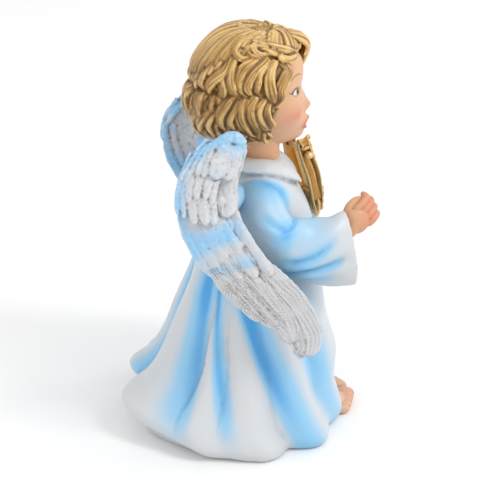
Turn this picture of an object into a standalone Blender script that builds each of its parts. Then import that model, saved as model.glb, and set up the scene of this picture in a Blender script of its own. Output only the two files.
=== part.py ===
# A painted resin figurine of a standing child angel that sings and holds a small lyre.
# Metres, +Z up. The origin is on the underside, on the axis of the body. The angel faces -Y,
# so its right hand is on the -X side. The figure is cast as one piece; the two wings and the
# lyre are separate castings.
import bpy
import bmesh
import math
from mathutils import Vector, Matrix

# Driving dimensions
HEIGHT = 0.300            # underside to the top of the hair
GAP = 0.0004              # air between separately cast pieces
WING_PLUG_RADIUS = 0.0065
WING_PLUG_LENGTH = 0.013
LYRE_HEIGHT = 0.074
LYRE_WIDTH = 0.040
LYRE_DEPTH = 0.0095
LYRE_STRINGS = 5
LYRE_STRING_RADIUS = 0.0007
CUFF_WALL = 0.0035
CUFF_RECESS = 0.012
COLLAR_THICKNESS = 0.0032

# Free forms are written in units of one three-hundredth of the height
U = HEIGHT / 300.0

# How finely each form is divided
ROBE_AROUND = 60
SLEEVE_AROUND = 12
HEAD_AROUND = 30
HEAD_RINGS = 24
TUBE_SIDES = 6

for leftover in list(bpy.data.objects):
    bpy.data.objects.remove(leftover, do_unlink=True)


def material(name, colour, roughness, metallic=0.0):
    made = bpy.data.materials.new(name)
    made.use_nodes = True
    shader = made.node_tree.nodes["Principled BSDF"]
    shader.inputs["Base Color"].default_value = (*colour, 1.0)
    shader.inputs["Roughness"].default_value = roughness
    shader.inputs["Metallic"].default_value = metallic
    return made


ROBE_PAINT = material("robe_paint", (0.62, 0.76, 0.88), 0.42)
WING_PAINT = material("wing_paint", (0.70, 0.78, 0.84), 0.48)
GOLD_PAINT = material("gold_paint", (0.55, 0.34, 0.09), 0.32, 0.85)


def smooth(low, high, value):
    share = min(1.0, max(0.0, (value - low) / (high - low)))
    return share * share * (3.0 - 2.0 * share)


def bell(distance, width):
    return math.exp(-(distance / width) ** 2)


def follow(keys, at):
    """A smooth curve through keys (position, value, value ...), read at one position."""
    at = min(keys[-1][0], max(keys[0][0], at))
    i = 0
    while i < len(keys) - 2 and at > keys[i + 1][0]:
        i += 1
    here, there = keys[i], keys[i + 1]
    span = there[0] - here[0]
    t = (at - here[0]) / span
    result = []
    for c in range(1, len(here)):
        before = keys[max(i - 1, 0)]
        after = keys[min(i + 2, len(keys) - 1)]
        start = (there[c] - before[c]) / (there[0] - before[0])
        end = (after[c] - here[c]) / (after[0] - here[0])
        result.append(
            (2 * t**3 - 3 * t**2 + 1) * here[c]
            + (t**3 - 2 * t**2 + t) * span * start
            + (3 * t**2 - 2 * t**3) * there[c]
            + (t**3 - t**2) * span * end
        )
    return result


def skin(name, rings, start=None, end=None):
    """A closed surface over equal rings of points, closed at each end on a point."""
    bm = bmesh.new()
    rows = [[bm.verts.new(p) for p in ring] for ring in rings]
    count = len(rows[0])
    for lower, upper in zip(rows, rows[1:]):
        for i in range(count):
            j = (i + 1) % count
            bm.faces.new((lower[i], lower[j], upper[j], upper[i]))
    for row, tip, turned in ((rows[0], start, True), (rows[-1], end, False)):
        if tip is None:
            tip = sum((v.co for v in row), Vector()) / count
        top = bm.verts.new(tip)
        for i in range(count):
            j = (i + 1) % count
            corner = (row[j], row[i], top) if turned else (row[i], row[j], top)
            bm.faces.new(corner)
    bmesh.ops.triangulate(bm, faces=bm.faces)
    if bm.calc_volume(signed=True) < 0.0:
        bmesh.ops.reverse_faces(bm, faces=bm.faces)
    mesh = bpy.data.meshes.new(name)
    bm.to_mesh(mesh)
    bm.free()
    mesh.shade_smooth()
    return mesh


def frames(points, across):
    """Two axes across a path at each of its points, turned to keep near one direction."""
    result = []
    for i, point in enumerate(points):
        ahead = points[min(i + 1, len(points) - 1)] - points[max(i - 1, 0)]
        ahead.normalize()
        side = across - ahead * across.dot(ahead)
        side.normalize()
        result.append((side, ahead.cross(side)))
    return result


def tube(name, points, widths, depths, across=Vector((1.0, 0.0, 0.0)), sides=TUBE_SIDES):
    """A tapered tube along a path: widths lie along one direction, depths across it."""
    rings = []
    for point, width, depth, (side, up) in zip(points, widths, depths, frames(points, across)):
        ring = []
        for k in range(sides):
            turn = 2.0 * math.pi * k / sides
            ring.append(point + side * math.cos(turn) * width + up * math.sin(turn) * depth)
        rings.append(ring)
    first = points[0] - (points[1] - points[0]).normalized() * min(widths[0], depths[0]) * 0.6
    last = points[-1] + (points[-1] - points[-2]).normalized() * min(widths[-1], depths[-1]) * 0.6
    return skin(name, rings, first, last)


def ball(name, centre, radii, around=12, rings=8, turn=None):
    """An ellipsoid, which can be turned about its centre."""
    turn = turn or Matrix.Identity(3)
    rows = []
    for i in range(1, rings):
        polar = math.pi * i / rings
        row = []
        for k in range(around):
            a = 2.0 * math.pi * k / around
            spot = Vector((
                radii[0] * math.sin(polar) * math.cos(a),
                radii[1] * math.sin(polar) * math.sin(a),
                -radii[2] * math.cos(polar),
            ))
            row.append(centre + turn @ spot)
        rows.append(row)
    low = centre + turn @ Vector((0.0, 0.0, -radii[2]))
    high = centre + turn @ Vector((0.0, 0.0, radii[2]))
    return skin(name, rows, low, high)


def guide(name, mesh, collection):
    """A hidden part that a Boolean joins or cuts."""
    made = bpy.data.objects.new(name, mesh)
    made.hide_render = True
    made.display_type = "WIRE"
    collection.objects.link(made)
    return made


def point(x, y, z):
    return Vector((x * U, y * U, z * U))


# The gown: height, front, back and half width of each level
GOWN = (
    (0.0, -90.0, 50.0, 84.0),
    (8.0, -94.0, 60.0, 87.0),
    (20.0, -91.0, 62.0, 84.0),
    (36.0, -86.5, 49.0, 77.0),
    (60.0, -86.0, 35.0, 69.0),
    (85.0, -83.0, 26.0, 61.0),
    (114.0, -80.0, 15.0, 53.0),
    (140.0, -76.0, 8.0, 46.0),
    (160.0, -72.0, 2.0, 43.0),
    (176.0, -65.0, -2.0, 42.0),
    (187.0, -58.0, -6.0, 37.0),
    (195.0, -54.0, -13.0, 28.0),
    (202.0, -50.0, -20.0, 17.0),
)
GOWN_LEVELS = (3.0, 9.0, 18.0, 30.0, 45.0, 64.0, 86.0, 111.0, 137.0, 160.0, 176.0,
               187.0, 195.0, 201.0)
# Fold valleys around the hem, in degrees from the front through the angel's right side
VALLEYS = (-32.0, 2.0, 31.0, 65.0, 104.0, 139.0, 181.0, 217.0, 251.0, 289.0)
TRAIN_LIFT = 15.0         # how far the back of the hem stands off the floor


def fold_height(turn, z):
    """How far the cloth stands out at one angle and height, between 0 in a valley and 1."""
    lift = min(z / 100.0, 1.25)
    valleys = []
    for base in VALLEYS:
        folded = base if base <= 181.0 else 360.0 - base
        shift = 32.0 * (1.0 - smooth(65.0, 140.0, abs(folded))) * smooth(0.0, 25.0, abs(folded))
        sign = 1.0 if 0.0 <= base <= 181.0 else -1.0
        valleys.append(base + sign * shift * lift)
    turn = (turn - valleys[0]) % 360.0 + valleys[0]
    valleys.append(valleys[0] + 360.0)
    for low, high in zip(valleys, valleys[1:]):
        if low <= turn <= high:
            share = (turn - low) / (high - low)
            width = (high - low) / 36.0
            return width * (abs(math.sin(math.pi * share)) ** 0.8), width
    return 0.0, 1.0


def gown_point(turn, z):
    """A point on the gown at an angle from the front, in degrees, and a height."""
    front, back, half = follow(GOWN, z)
    centre, deep = (front + back) / 2.0, (back - front) / 2.0
    a = math.radians(turn)
    height, width = fold_height(turn, z)
    side = smooth(10.0, 60.0, 180.0 - abs((turn % 360.0) - 180.0))
    depth = 11.0 * (0.35 + 0.65 * side) * (1.0 - smooth(20.0, 150.0, z)) ** 0.9
    out = depth * (height - 0.62 * width)
    knee = 3.6 * bell(((turn + 180.0) % 360.0 - 180.0) - 17.0, 12.0) * bell(z - 56.0, 20.0)
    knee += 3.0 * bell(((turn + 180.0) % 360.0 - 180.0) + 15.0, 12.0) * bell(z - 54.0, 22.0)
    out += knee
    swell = 1.0 + 0.06 * abs(math.sin(2.0 * a)) * (1.0 - smooth(60.0, 150.0, z))
    x = -math.sin(a) * (half * swell + out)
    y = centre - math.cos(a) * (deep * swell + out)
    behind = max(0.0, -math.cos(a)) ** 2
    lifted = TRAIN_LIFT * behind * (1.0 - smooth(0.0, 55.0, z))
    return point(x, y, z + lifted)


def gown():
    rings = []
    inner = []
    for k in range(ROBE_AROUND):
        turn = 360.0 * k / ROBE_AROUND
        rim = gown_point(turn, 2.0)
        inner.append(Vector((rim.x * 0.86, (rim.y + 18.0 * U) * 0.86 - 18.0 * U, 0.0)))
    rings.append(inner)
    for z in GOWN_LEVELS:
        rings.append([gown_point(360.0 * k / ROBE_AROUND, z) for k in range(ROBE_AROUND)])
    return skin("gown", rings, Vector((0.0, -18.0 * U, 0.0)))


# The sleeve: centre, half width and half height of each ring, from inside the shoulder
SLEEVE = (
    (0.0, -20.0, -28.0, 181.0, 12.0, 14.0),
    (1.0, -36.0, -29.0, 178.0, 15.0, 17.0),
    (2.0, -47.0, -32.0, 166.0, 16.0, 19.0),
    (3.0, -52.0, -41.0, 152.0, 15.5, 22.0),
    (4.0, -51.0, -58.0, 147.0, 15.5, 22.5),
    (5.0, -48.0, -77.0, 145.0, 16.0, 25.5),
    (6.0, -45.0, -93.0, 143.5, 16.5, 28.0),
)


def sleeve(side):
    """One bell sleeve with a recess in its cuff. side is -1 for the right arm, 1 for the left."""
    steps = 12
    rings = []
    path = [Vector(follow(SLEEVE, 6.0 * i / steps)[:3]) for i in range(steps + 1)]
    for i, centre in enumerate(path):
        at = 6.0 * i / steps
        _, _, _, wide, tall = follow(SLEEVE, at)
        ahead = (path[min(i + 1, steps)] - path[max(i - 1, 0)]).normalized()
        across = Vector((1.0, 0.0, 0.0))
        across = (across - ahead * across.dot(ahead)).normalized()
        up = across.cross(ahead)
        if up.z < 0.0:
            up = -up
        ring = []
        for k in range(SLEEVE_AROUND):
            a = 2.0 * math.pi * k / SLEEVE_AROUND
            crease = 1.0 + 0.06 * math.sin(3.0 * a + 2.6 * at) * smooth(1.5, 3.5, at)
            spot = centre + (across * math.cos(a) * wide + up * math.sin(a) * tall) * crease
            spot.y += 6.0 * smooth(4.5, 6.0, at) * math.sin(a)
            drawn_back = max(0.0, side) * smooth(3.0, 6.0, at)
            spot += Vector((-5.0, 7.0, 0.0)) * drawn_back
            ring.append(Vector((-side * spot.x, spot.y, spot.z)) * U)
        rings.append(ring)
    mouth = rings[-1]
    middle = sum(mouth, Vector()) / SLEEVE_AROUND
    reach = sum(((p - middle).length for p in mouth), 0.0) / SLEEVE_AROUND
    share = 1.0 - CUFF_WALL / reach
    inner = [middle + (p - middle) * share for p in mouth]
    back = Vector((0.0, CUFF_RECESS, 0.0))
    rings.append(inner)
    rings.append([middle + (p - middle) * 0.85 + back for p in inner])
    return skin("sleeve", rings, None, middle + back)


def collar():
    """A flat round-cornered collar that lies on the shoulders, open at the front."""
    sections = []
    count = 26
    for i in range(count + 1):
        turn = 7.0 + 346.0 * i / count
        a = math.radians(turn)
        out = Vector((-math.sin(a), -math.cos(a), 0.0))
        front = max(0.0, math.cos(a))
        near_corner = min(i, count - i) / count
        reach = (31.0 - 3.0 * front) * (0.72 + 0.28 * smooth(-0.02, 0.07, near_corner))
        drop = 7.0 + 13.0 * front ** 1.5
        centre = Vector((0.0, -36.0, 206.0 - 4.0 * front))
        inner = centre + out * 15.5
        outer = centre + Vector((out.x * reach, out.y * reach, -drop))
        outer.y -= 4.0 * front
        middle = (inner + outer) / 2.0 + Vector((0.0, 0.0, 2.0))
        thick = Vector((0.0, 0.0, COLLAR_THICKNESS / U))
        ring = [inner - thick * 2.0, inner, middle, outer, outer - thick, middle - thick * 2.4]
        sections.append([p * U for p in ring])
    return skin("collar", sections)


HEAD = Vector((0.0, -28.0, 252.0))


def face_point(side, out, up):
    """A point on the head in one direction, with cheeks, brow, eyes, nose, lips and chin."""
    spot = Vector((side * 32.5, out * 39.0, up * 41.5))
    forward = smooth(0.1, 0.8, -out)
    jaw = smooth(0.1, -0.9, up)
    spot.x *= 1.0 - 0.20 * jaw
    spot.y *= 1.0 + 0.38 * smooth(-0.35, -0.95, up) * smooth(0.0, 0.35, -out)
    spot.y -= 2.0 * jaw * forward
    for eye in (-1.0, 1.0):
        spot.y -= 3.6 * bell(spot.x - eye * 19.0, 11.0) * bell(spot.z + 18.0, 11.0) * forward
        spot.x += eye * 2.4 * bell(spot.x - eye * 24.0, 10.0) * bell(spot.z + 18.0, 11.0)
        spot.y += 3.4 * bell(spot.x - eye * 13.0, 7.5) * bell(spot.z + 1.0, 6.0) * forward
    spot.y -= 7.0 * bell(spot.x, 5.2) * bell(spot.z + 14.5, 5.4) * forward
    spot.y -= 2.2 * bell(spot.x, 3.4) * bell(spot.z + 6.0, 8.0) * forward
    spot.y -= 3.6 * bell(spot.x, 8.0) * bell(spot.z + 26.0, 6.0) * forward
    spot.y += 5.0 * bell(spot.x, 4.6) * bell(spot.z + 26.5, 2.6) * forward
    spot.y -= 8.0 * bell(spot.x, 10.0) * bell(spot.z + 37.5, 7.0) * smooth(0.0, 0.4, -out)
    return (HEAD + spot) * U


def head():
    rows = []
    for i in range(1, HEAD_RINGS):
        polar = math.pi * (i / HEAD_RINGS) ** 1.3
        row = []
        for k in range(HEAD_AROUND):
            a = 2.0 * math.pi * k / HEAD_AROUND
            pinch = a - 0.5 * math.sin(a)
            side, out = math.sin(polar) * math.sin(pinch), -math.sin(polar) * math.cos(pinch)
            row.append(face_point(side, out, -math.cos(polar)))
        rows.append(row)
    return skin("head", rows, face_point(0.0, 0.0, -1.0), face_point(0.0, 0.0, 1.0))


# Hair: the mass under the locks, and how it opens around the face
HAIR = Vector((0.0, -25.5, 257.5))
HAIR_HALF = (38.5, 38.5, 41.0)


def hair_surface(turn, up):
    """A point on the hair mass at an angle from the front, in degrees, and a height share."""
    a = math.radians(turn)
    level = math.sqrt(max(0.0, 1.0 - up * up))
    if up < -0.05:
        level = 1.0 - 0.18 * smooth(-0.05, -0.95, up)
    half = Vector((-math.sin(a) * level * HAIR_HALF[0], -math.cos(a) * level * HAIR_HALF[1],
                   up * HAIR_HALF[2]))
    ahead = (turn + 180.0) % 360.0 - 180.0
    half.y -= 7.0 * bell(ahead, 42.0) * smooth(0.15, 0.6, up)
    return HAIR + half


def crown_ridges(turn, up):
    """Combed ridges that run from the whorl down over the crown."""
    swirl = math.radians(turn) * 8.0 + 3.0 * up
    return 2.6 * abs(math.sin(swirl)) * smooth(0.99, 0.8, up)


def hair_cap():
    """The hair above the roll, combed out from the whorl and ending in a thick edge."""
    rows = []
    for up in (0.36, 0.40, 0.52, 0.66, 0.79, 0.90, 0.97):
        row = []
        for k in range(48):
            turn = 360.0 * k / 48
            back = 0.5 - 0.5 * math.cos(math.radians(turn))
            low = 0.62 - 0.50 * back
            at = low + (up - 0.36) * (1.0 - low) / 0.64
            spot = hair_surface(turn, at)
            swell = 1.035 if up > 0.38 else 0.90
            out = (spot - HAIR) * swell
            out += (spot - HAIR).normalized() * crown_ridges(turn, at)
            row.append((HAIR + out) * U)
        rows.append(row)
    top = (HAIR + Vector((0.0, -4.0, HAIR_HALF[2] * 1.05))) * U
    low = (HAIR + Vector((0.0, 0.0, 6.0))) * U
    return skin("hair_cap", rows, low, top)


def hair_mass():
    """The smooth mass under the hanging locks, drawn in behind the face."""
    rows = []
    for up in (-0.86, -0.7, -0.35, 0.0, 0.35, 0.65, 0.88):
        row = []
        for k in range(32):
            turn = 360.0 * k / 32
            spot = hair_surface(turn, up)
            front = smooth(66.0, 48.0, abs((turn + 180.0) % 360.0 - 180.0))
            if up < 0.5:
                spot.y += front * (spot.y - HAIR.y) * -0.55
            row.append(spot * U)
        rows.append(row)
    return skin("hair_mass", rows, None, None)


def lock(turn, top, bottom, sway, width, curl):
    """One hanging lock: a path down the hair that sways from side to side and curls out."""
    points, widths, depths = [], [], []
    steps = 5
    for i in range(steps + 1):
        share = i / steps
        up = top + (bottom - top) * share
        bend = sway * math.sin(2.0 * math.pi * share)
        spot = hair_surface(turn + bend + curl * 9.0 * max(0.0, share - 0.6), up)
        out = (spot - Vector((HAIR.x, HAIR.y, spot.z))).normalized()
        spot += out * (1.0 + 2.2 * math.sin(math.pi * share) + 2.5 * max(0.0, share - 0.7))
        points.append(spot * U)
        taper = 1.0 - 0.55 * smooth(0.6, 1.0, share)
        widths.append(width * taper * U)
        depths.append(width * 0.72 * taper * U)
    middle = points[len(points) // 2] - HAIR * U
    across = Vector((0.0, 0.0, 1.0)).cross(middle).normalized()
    return tube("lock", points, widths, depths, across, 5)


def locks():
    """Two tiers of wavy locks around the sides and back of the head."""
    made = []
    for tier, (count, top, bottom) in enumerate(((19, 0.42, -0.20), (18, 0.02, -0.93))):
        for i in range(count):
            share = i / (count - 1)
            turn = 58.0 + 244.0 * share
            rise = 0.10 * math.sin(7.3 * i + tier)
            back = math.sin(math.pi * share)
            sway = 5.5 * math.cos(0.55 * i + 1.5 * tier)
            top_here = top + 0.14 * (1.0 - back)
            bottom_here = bottom + rise + 0.16 * (1.0 - back) * tier
            made.append(lock(turn, top_here, bottom_here, sway, 5.6, 1.0 if i < count / 2 else -1.0))
    made.append(lock(-17.0, 0.78, 0.40, -4.0, 6.0, -1.0))
    made.append(lock(-34.0, 0.72, 0.32, 4.0, 5.6, -1.0))
    return made


def roll():
    """The rolled band of hair that frames the forehead and runs over each ear."""
    made = []
    for side in (-1.0, 1.0):
        points, widths, depths = [], [], []
        for i in range(9):
            share = i / 8
            turn = -side * (2.0 + 98.0 * share)
            spot = hair_surface(turn, 0.60 + 0.08 * math.sin(math.pi * share))
            out = (spot - HAIR).normalized()
            points.append((spot + out * 1.5) * U)
            wave = 1.0 + 0.18 * math.cos(6.0 * math.pi * share)
            widths.append(6.4 * wave * U)
            depths.append(5.2 * wave * U)
        made.append(tube("roll", points, widths, depths, Vector((0.0, 0.0, 1.0)), 6))
    return made


def hand(wrist, palm, forward, inward, curl):
    """A hand with four fingers that curl inward and a thumb on top."""
    forward = forward.normalized()
    inward = (inward - forward * inward.dot(forward)).normalized()
    up = forward.cross(inward)
    if up.z < 0.0:
        up = -up
    turn = Matrix((inward, forward, up)).transposed()
    parts = [ball("palm", palm * U, (6.2 * U, 10.5 * U, 10.0 * U), 10, 6, turn)]
    parts.append(tube("wrist", [(wrist - forward * 4.0 + Vector((0.0, 18.0, 0.0))) * U, wrist * U,
                                palm * U],
                      [6.4 * U, 6.2 * U, 6.0 * U], [7.4 * U, 7.2 * U, 7.0 * U], inward, 8))
    for i in range(4):
        knuckle = palm + forward * 6.0 + up * (7.2 - 4.9 * i) - inward * 1.0
        length = (10.5, 11.5, 10.5, 8.5)[i]
        points = []
        for j in range(5):
            a = curl * j / 4
            reach = length * (math.sin(min(a, 1.9)) if curl > 0.6 else j / 4.0)
            side = length * 0.62 * (1.0 - math.cos(a))
            points.append((knuckle + forward * reach + inward * side) * U)
        parts.append(tube("finger", points, [2.9 * U, 2.9 * U, 2.8 * U, 2.7 * U, 2.3 * U],
                          [2.7 * U] * 4 + [2.2 * U], up, 6))
    base = palm + up * 7.5 - forward * 3.0 + inward * 2.0
    points = [base, base + forward * 6.0 + up * 3.2, base + forward * 11.5 + up * 2.8 + inward * 2.0,
              base + forward * 15.0 + up * 0.6 + inward * 4.0]
    parts.append(tube("thumb", [p * U for p in points], [3.2 * U, 3.1 * U, 2.9 * U, 2.3 * U],
                      [3.1 * U, 3.0 * U, 2.8 * U, 2.2 * U], inward, 6))
    return parts


def foot(x, ahead, turned):
    """The front of a bare foot with five toes, standing on the floor."""
    parts = [ball("foot", point(x, -82.0 - ahead, 7.0), (12.5 * U, 21.0 * U, 7.0 * U), 12, 8,
                  Matrix.Rotation(turned, 3, "Z"))]
    for i in range(5):
        share = i / 4
        toe_x = x + (-10.5 + 20.5 * share) * (1.0 if x < 0.0 else -1.0)
        size = 3.5 + 2.0 * share
        toe_y = -99.5 - ahead - 4.5 * share + 1.5 * (share - 0.5) ** 2
        parts.append(ball("toe", point(toe_x, toe_y + 1.0, size + 0.4),
                          (size * 0.95 * U, size * 1.5 * U, size * U), 6, 4))
    return parts


# The wing's front edge and its width, along the edge from the crest to the tip
WING_EDGE = (
    (0.00, -16.0, 237.0, 12.0),
    (0.08, -14.5, 224.0, 29.0),
    (0.16, -12.0, 210.0, 38.0),
    (0.25, -10.0, 195.0, 43.0),
    (0.35, -15.0, 179.0, 47.0),
    (0.44, -22.0, 166.0, 48.0),
    (0.54, -32.0, 151.0, 44.0),
    (0.65, -43.0, 136.0, 38.0),
    (0.75, -53.0, 123.0, 34.0),
    (0.85, -61.0, 106.0, 29.0),
    (0.93, -64.0, 91.0, 24.0),
    (1.00, -60.0, 76.0, 3.0),
)
# Feather rows: where they start and end along the wing, how many, and how proud they stand
ROWS = (
    (0.00, 0.26, 3, 2.6),
    (0.13, 0.40, 4, 2.0),
    (0.27, 0.60, 5, 1.2),
)
PRIMARIES = (1.00, 0.93, 0.83, 0.74, 0.66, 0.60)


def wing_point(along, across, proud=0.0):
    """A point of the right wing: share along its edge, distance back from it, and outward."""
    y, z, _ = follow(WING_EDGE, along)
    y2, z2, _ = follow(WING_EDGE, min(1.0, along + 0.02))
    y1, z1, _ = follow(WING_EDGE, max(0.0, along - 0.02))
    ahead = Vector((y2 - y1, z2 - z1)).normalized()
    back = Vector((-ahead.y, ahead.x))
    y, z = y + back.x * across, z + back.y * across
    out = 54.0 + 34.0 * (1.0 - math.exp(-max(0.0, 236.0 - z) / 80.0))
    _, _, width = follow(WING_EDGE, along)
    share = across / max(width, 1.0)
    camber = 5.0 * (1.0 - (2.0 * min(max(share, 0.0), 1.0) - 1.0) ** 2)
    camber -= 9.0 * bell(along - 0.22, 0.13) * (1.0 - smooth(0.0, 26.0, across))
    return Vector((-(out + camber + proud), y, z)) * U


def wing_sheet():
    """The body of the wing under its feathers, a thin arched lens."""
    rings = []
    steps = 15
    shares = (0.0, 0.25, 0.5, 0.75, 1.0)
    for i in range(steps + 1):
        along = 0.005 + 0.965 * i / steps
        _, _, width = follow(WING_EDGE, along)
        thick = 2.6 - 1.4 * along
        ring = [wing_point(along, width * (0.02 + 0.88 * s), thick if 0.0 < s < 1.0 else 0.4)
                for s in shares]
        ring += [wing_point(along, width * (0.02 + 0.88 * s), -thick if 0.0 < s < 1.0 else -0.6)
                 for s in reversed(shares)]
        rings.append(ring)
    return skin("wing_sheet", rings)


def feather(start, stop, across_start, across_stop, width, thick, proud):
    """One feather along the wing, with a raised shaft and a rounded point."""
    rings = []
    for share, wide in ((0.0, 0.55), (0.3, 0.95), (0.68, 1.0), (0.9, 0.62)):
        along = start + (stop - start) * share
        across = across_start + (across_stop - across_start) * share
        rise = proud + 1.4 * share
        half = width * wide / 2.0
        rings.append([
            wing_point(along, across - half, rise),
            wing_point(along, across, rise + thick),
            wing_point(along, across + half, rise),
            wing_point(along, across, rise - thick * 1.3),
        ])
    return skin("feather", rings, wing_point(start, across_start, proud),
                wing_point(stop, across_stop, proud + 1.2))


def wing_feathers():
    made = []
    for start, stop, count, proud in ROWS:
        _, _, wide = follow(WING_EDGE, (start + stop) / 2.0)
        _, _, narrow = follow(WING_EDGE, start + 0.03)
        _, _, reach = follow(WING_EDGE, stop)
        for i in range(count):
            share = (i + 0.5) / count
            late = 0.02 * math.sin(5.0 * i + start * 20.0)
            made.append(feather(start, stop + late - 0.05 * share, narrow * share, reach * share,
                                wide / count * 1.18, 1.9, proud))
    count = len(PRIMARIES)
    for i, stop in enumerate(PRIMARIES):
        share = (i + 0.42) / count
        across = 47.0 * share
        _, _, room = follow(WING_EDGE, stop - 0.06)
        end = min(across, room * 0.9) if i else 4.0
        made.append(feather(0.40, stop, across, end, 12.5 if i else 16.0, 1.9, 0.2 + 0.25 * i))
    return made


LEFT_WING_TURN = math.radians(-6.0)
PLUG_FROM = (-67.0, 2.0, 193.0)
PLUG_TO = (-30.0, -17.0, 183.0)


def wing_root(grow=0.0):
    """The neck of the wing and its plug. grow makes the socket that takes it."""
    start, stop = point(*PLUG_FROM), point(*PLUG_TO)
    ahead = (stop - start).normalized()
    seat = stop - ahead * WING_PLUG_LENGTH
    points = [start, start.lerp(seat, 0.45), seat, seat + ahead * (WING_PLUG_LENGTH + grow)]
    radii = [6.0 * U, 9.5 * U, WING_PLUG_RADIUS * 1.25, WING_PLUG_RADIUS]
    return tube("wing_root", points, [r + grow for r in radii], [r * 1.15 + grow for r in radii],
                Vector((0.0, 1.0, 0.0)), 12)


def mirrored(mesh):
    """A left wing's form: the right one mirrored, and folded in a little more."""
    made = mesh.copy()
    made.transform(Matrix.Scale(-1.0, 4, Vector((1.0, 0.0, 0.0))))
    made.flip_normals()
    hinge = Matrix.Translation(point(36.0, -10.0, 0.0))
    made.transform(hinge @ Matrix.Rotation(LEFT_WING_TURN, 4, "Z") @ hinge.inverted())
    return made


LYRE_FOOT = Vector((27.0 * U, -83.0 * U, 141.0 * U))
LYRE_TURN = (Matrix.Rotation(math.radians(17.0), 3, "Z")
             @ Matrix.Rotation(math.radians(-14.0), 3, "X"))


def lyre_place(u, v, w):
    """A point of the lyre from its width, height and depth, set in the angel's arm."""
    return LYRE_FOOT + LYRE_TURN @ Vector((u, w, v))


def lyre_parts(grow=0.0):
    """Soundbox, two scrolled arms, crossbar and strings. grow makes room for the hand."""
    half, tall, deep = LYRE_WIDTH / 2.0, LYRE_HEIGHT, LYRE_DEPTH / 2.0
    parts = []
    rings = []
    for v, wide in ((0.0, 0.22), (0.04, 0.42), (0.12, 0.62), (0.21, 0.68), (0.29, 0.58),
                    (0.33, 0.34)):
        ring = []
        for k in range(12):
            a = 2.0 * math.pi * k / 12
            thin = 0.62 if v in (0.0, 0.33) else 1.0
            ring.append(lyre_place((half * wide + grow) * math.cos(a), tall * v + grow * (v - 0.15) * 6.0,
                                   (deep * thin + grow) * math.sin(a)))
        rings.append(ring)
    parts.append(skin("soundbox", rings))
    for side in (-1.0, 1.0):
        keys = ((0.0, 0.44, 0.20), (1.0, 0.68, 0.38), (2.0, 0.84, 0.58), (3.0, 0.70, 0.76),
                (4.0, 0.70, 0.90), (4.7, 0.90, 0.97), (5.3, 0.98, 0.90), (5.8, 0.86, 0.86))
        points, widths, depths = [], [], []
        for i in range(13):
            u, v = follow(keys, 5.8 * i / 12)
            points.append(lyre_place(side * half * u, tall * v, 0.0))
            taper = 1.0 - 0.45 * smooth(0.7, 1.0, i / 12)
            widths.append(0.0024 * HEIGHT / 0.300 * taper + grow)
            depths.append(deep * taper * 0.95 + grow)
        across = LYRE_TURN @ Vector((0.0, 1.0, 0.0))
        parts.append(tube("lyre_arm", points, depths, widths, across, 6))
    bar = [lyre_place(half * 0.98 * s, tall * 0.80, 0.0) for s in (-1.0, -0.9, 0.9, 1.0)]
    parts.append(tube("crossbar", bar, [0.0026 + grow, 0.0019 + grow, 0.0019 + grow, 0.0026 + grow],
                      [0.0026 + grow, 0.0019 + grow, 0.0019 + grow, 0.0026 + grow],
                      Vector((0.0, 0.0, 1.0)), 8))
    if grow == 0.0:
        for i in range(LYRE_STRINGS):
            u = half * (-0.30 + 0.60 * i / (LYRE_STRINGS - 1))
            ends = [lyre_place(u, tall * 0.24, 0.0), lyre_place(u, tall * 0.80, 0.0)]
            r = LYRE_STRING_RADIUS
            parts.append(tube("string", ends, [r, r], [r, r], Vector((1.0, 0.0, 0.0)), 4))
    return parts


def outer_shell(mesh):
    """Keeps the outer surface of a casting and drops pockets closed in between joined forms."""
    bm = bmesh.new()
    bm.from_mesh(mesh)
    unseen = set(bm.faces)
    shells = []
    while unseen:
        start = unseen.pop()
        shell, edge = [start], [start]
        while edge:
            face = edge.pop()
            for side in face.edges:
                for other in side.link_faces:
                    if other in unseen:
                        unseen.remove(other)
                        shell.append(other)
                        edge.append(other)
        shells.append(shell)
    shells.sort(key=len, reverse=True)
    spare = [face for shell in shells[1:] for face in shell]
    bmesh.ops.delete(bm, geom=spare, context="FACES")
    bm.to_mesh(mesh)
    bm.free()
    mesh.shade_smooth()
    return len(shells)


def evaluated(made):
    bpy.context.view_layer.update()
    seen = made.evaluated_get(bpy.context.evaluated_depsgraph_get())
    return bpy.data.meshes.new_from_object(seen)


def boolean(name, mesh, verb, meshes, share=1.0):
    """One form with others joined to it or cut from it, then thinned to a share of its faces."""
    base = bpy.data.objects.new(name + "_form", mesh)
    bpy.context.scene.collection.objects.link(base)
    group = bpy.data.collections.new(name + "_" + verb.lower())
    bpy.context.scene.collection.children.link(group)
    for i, other in enumerate(meshes):
        guide(name + "_" + verb.lower() + "_" + str(i), other, group)
    step = base.modifiers.new(verb.lower(), "BOOLEAN")
    step.operation = verb
    step.solver = "EXACT"
    step.operand_type = "COLLECTION"
    step.collection = group
    step.use_self = True
    cast = evaluated(base)
    outer_shell(cast)
    if share < 1.0:
        base.modifiers.clear()
        base.data = cast
        step = base.modifiers.new("thin", "DECIMATE")
        step.ratio = share
        step.use_collapse_triangulate = True
        cast = evaluated(base)
        outer_shell(cast)
    for spare in list(group.objects) + [base]:
        bpy.data.objects.remove(spare, do_unlink=True)
    return cast


def assemble(name, mesh, joined, cut, paint, share):
    """A casting from one form, with other forms joined to it and cut from it."""
    cast = boolean(name, mesh, "UNION", joined, share)
    if cut:
        cast = boolean(name, cast, "DIFFERENCE", cut)
    cast.name = name
    cast.materials.clear()
    cast.materials.append(paint)
    made = bpy.data.objects.new(name, cast)
    bpy.context.scene.collection.objects.link(made)
    return made


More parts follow.
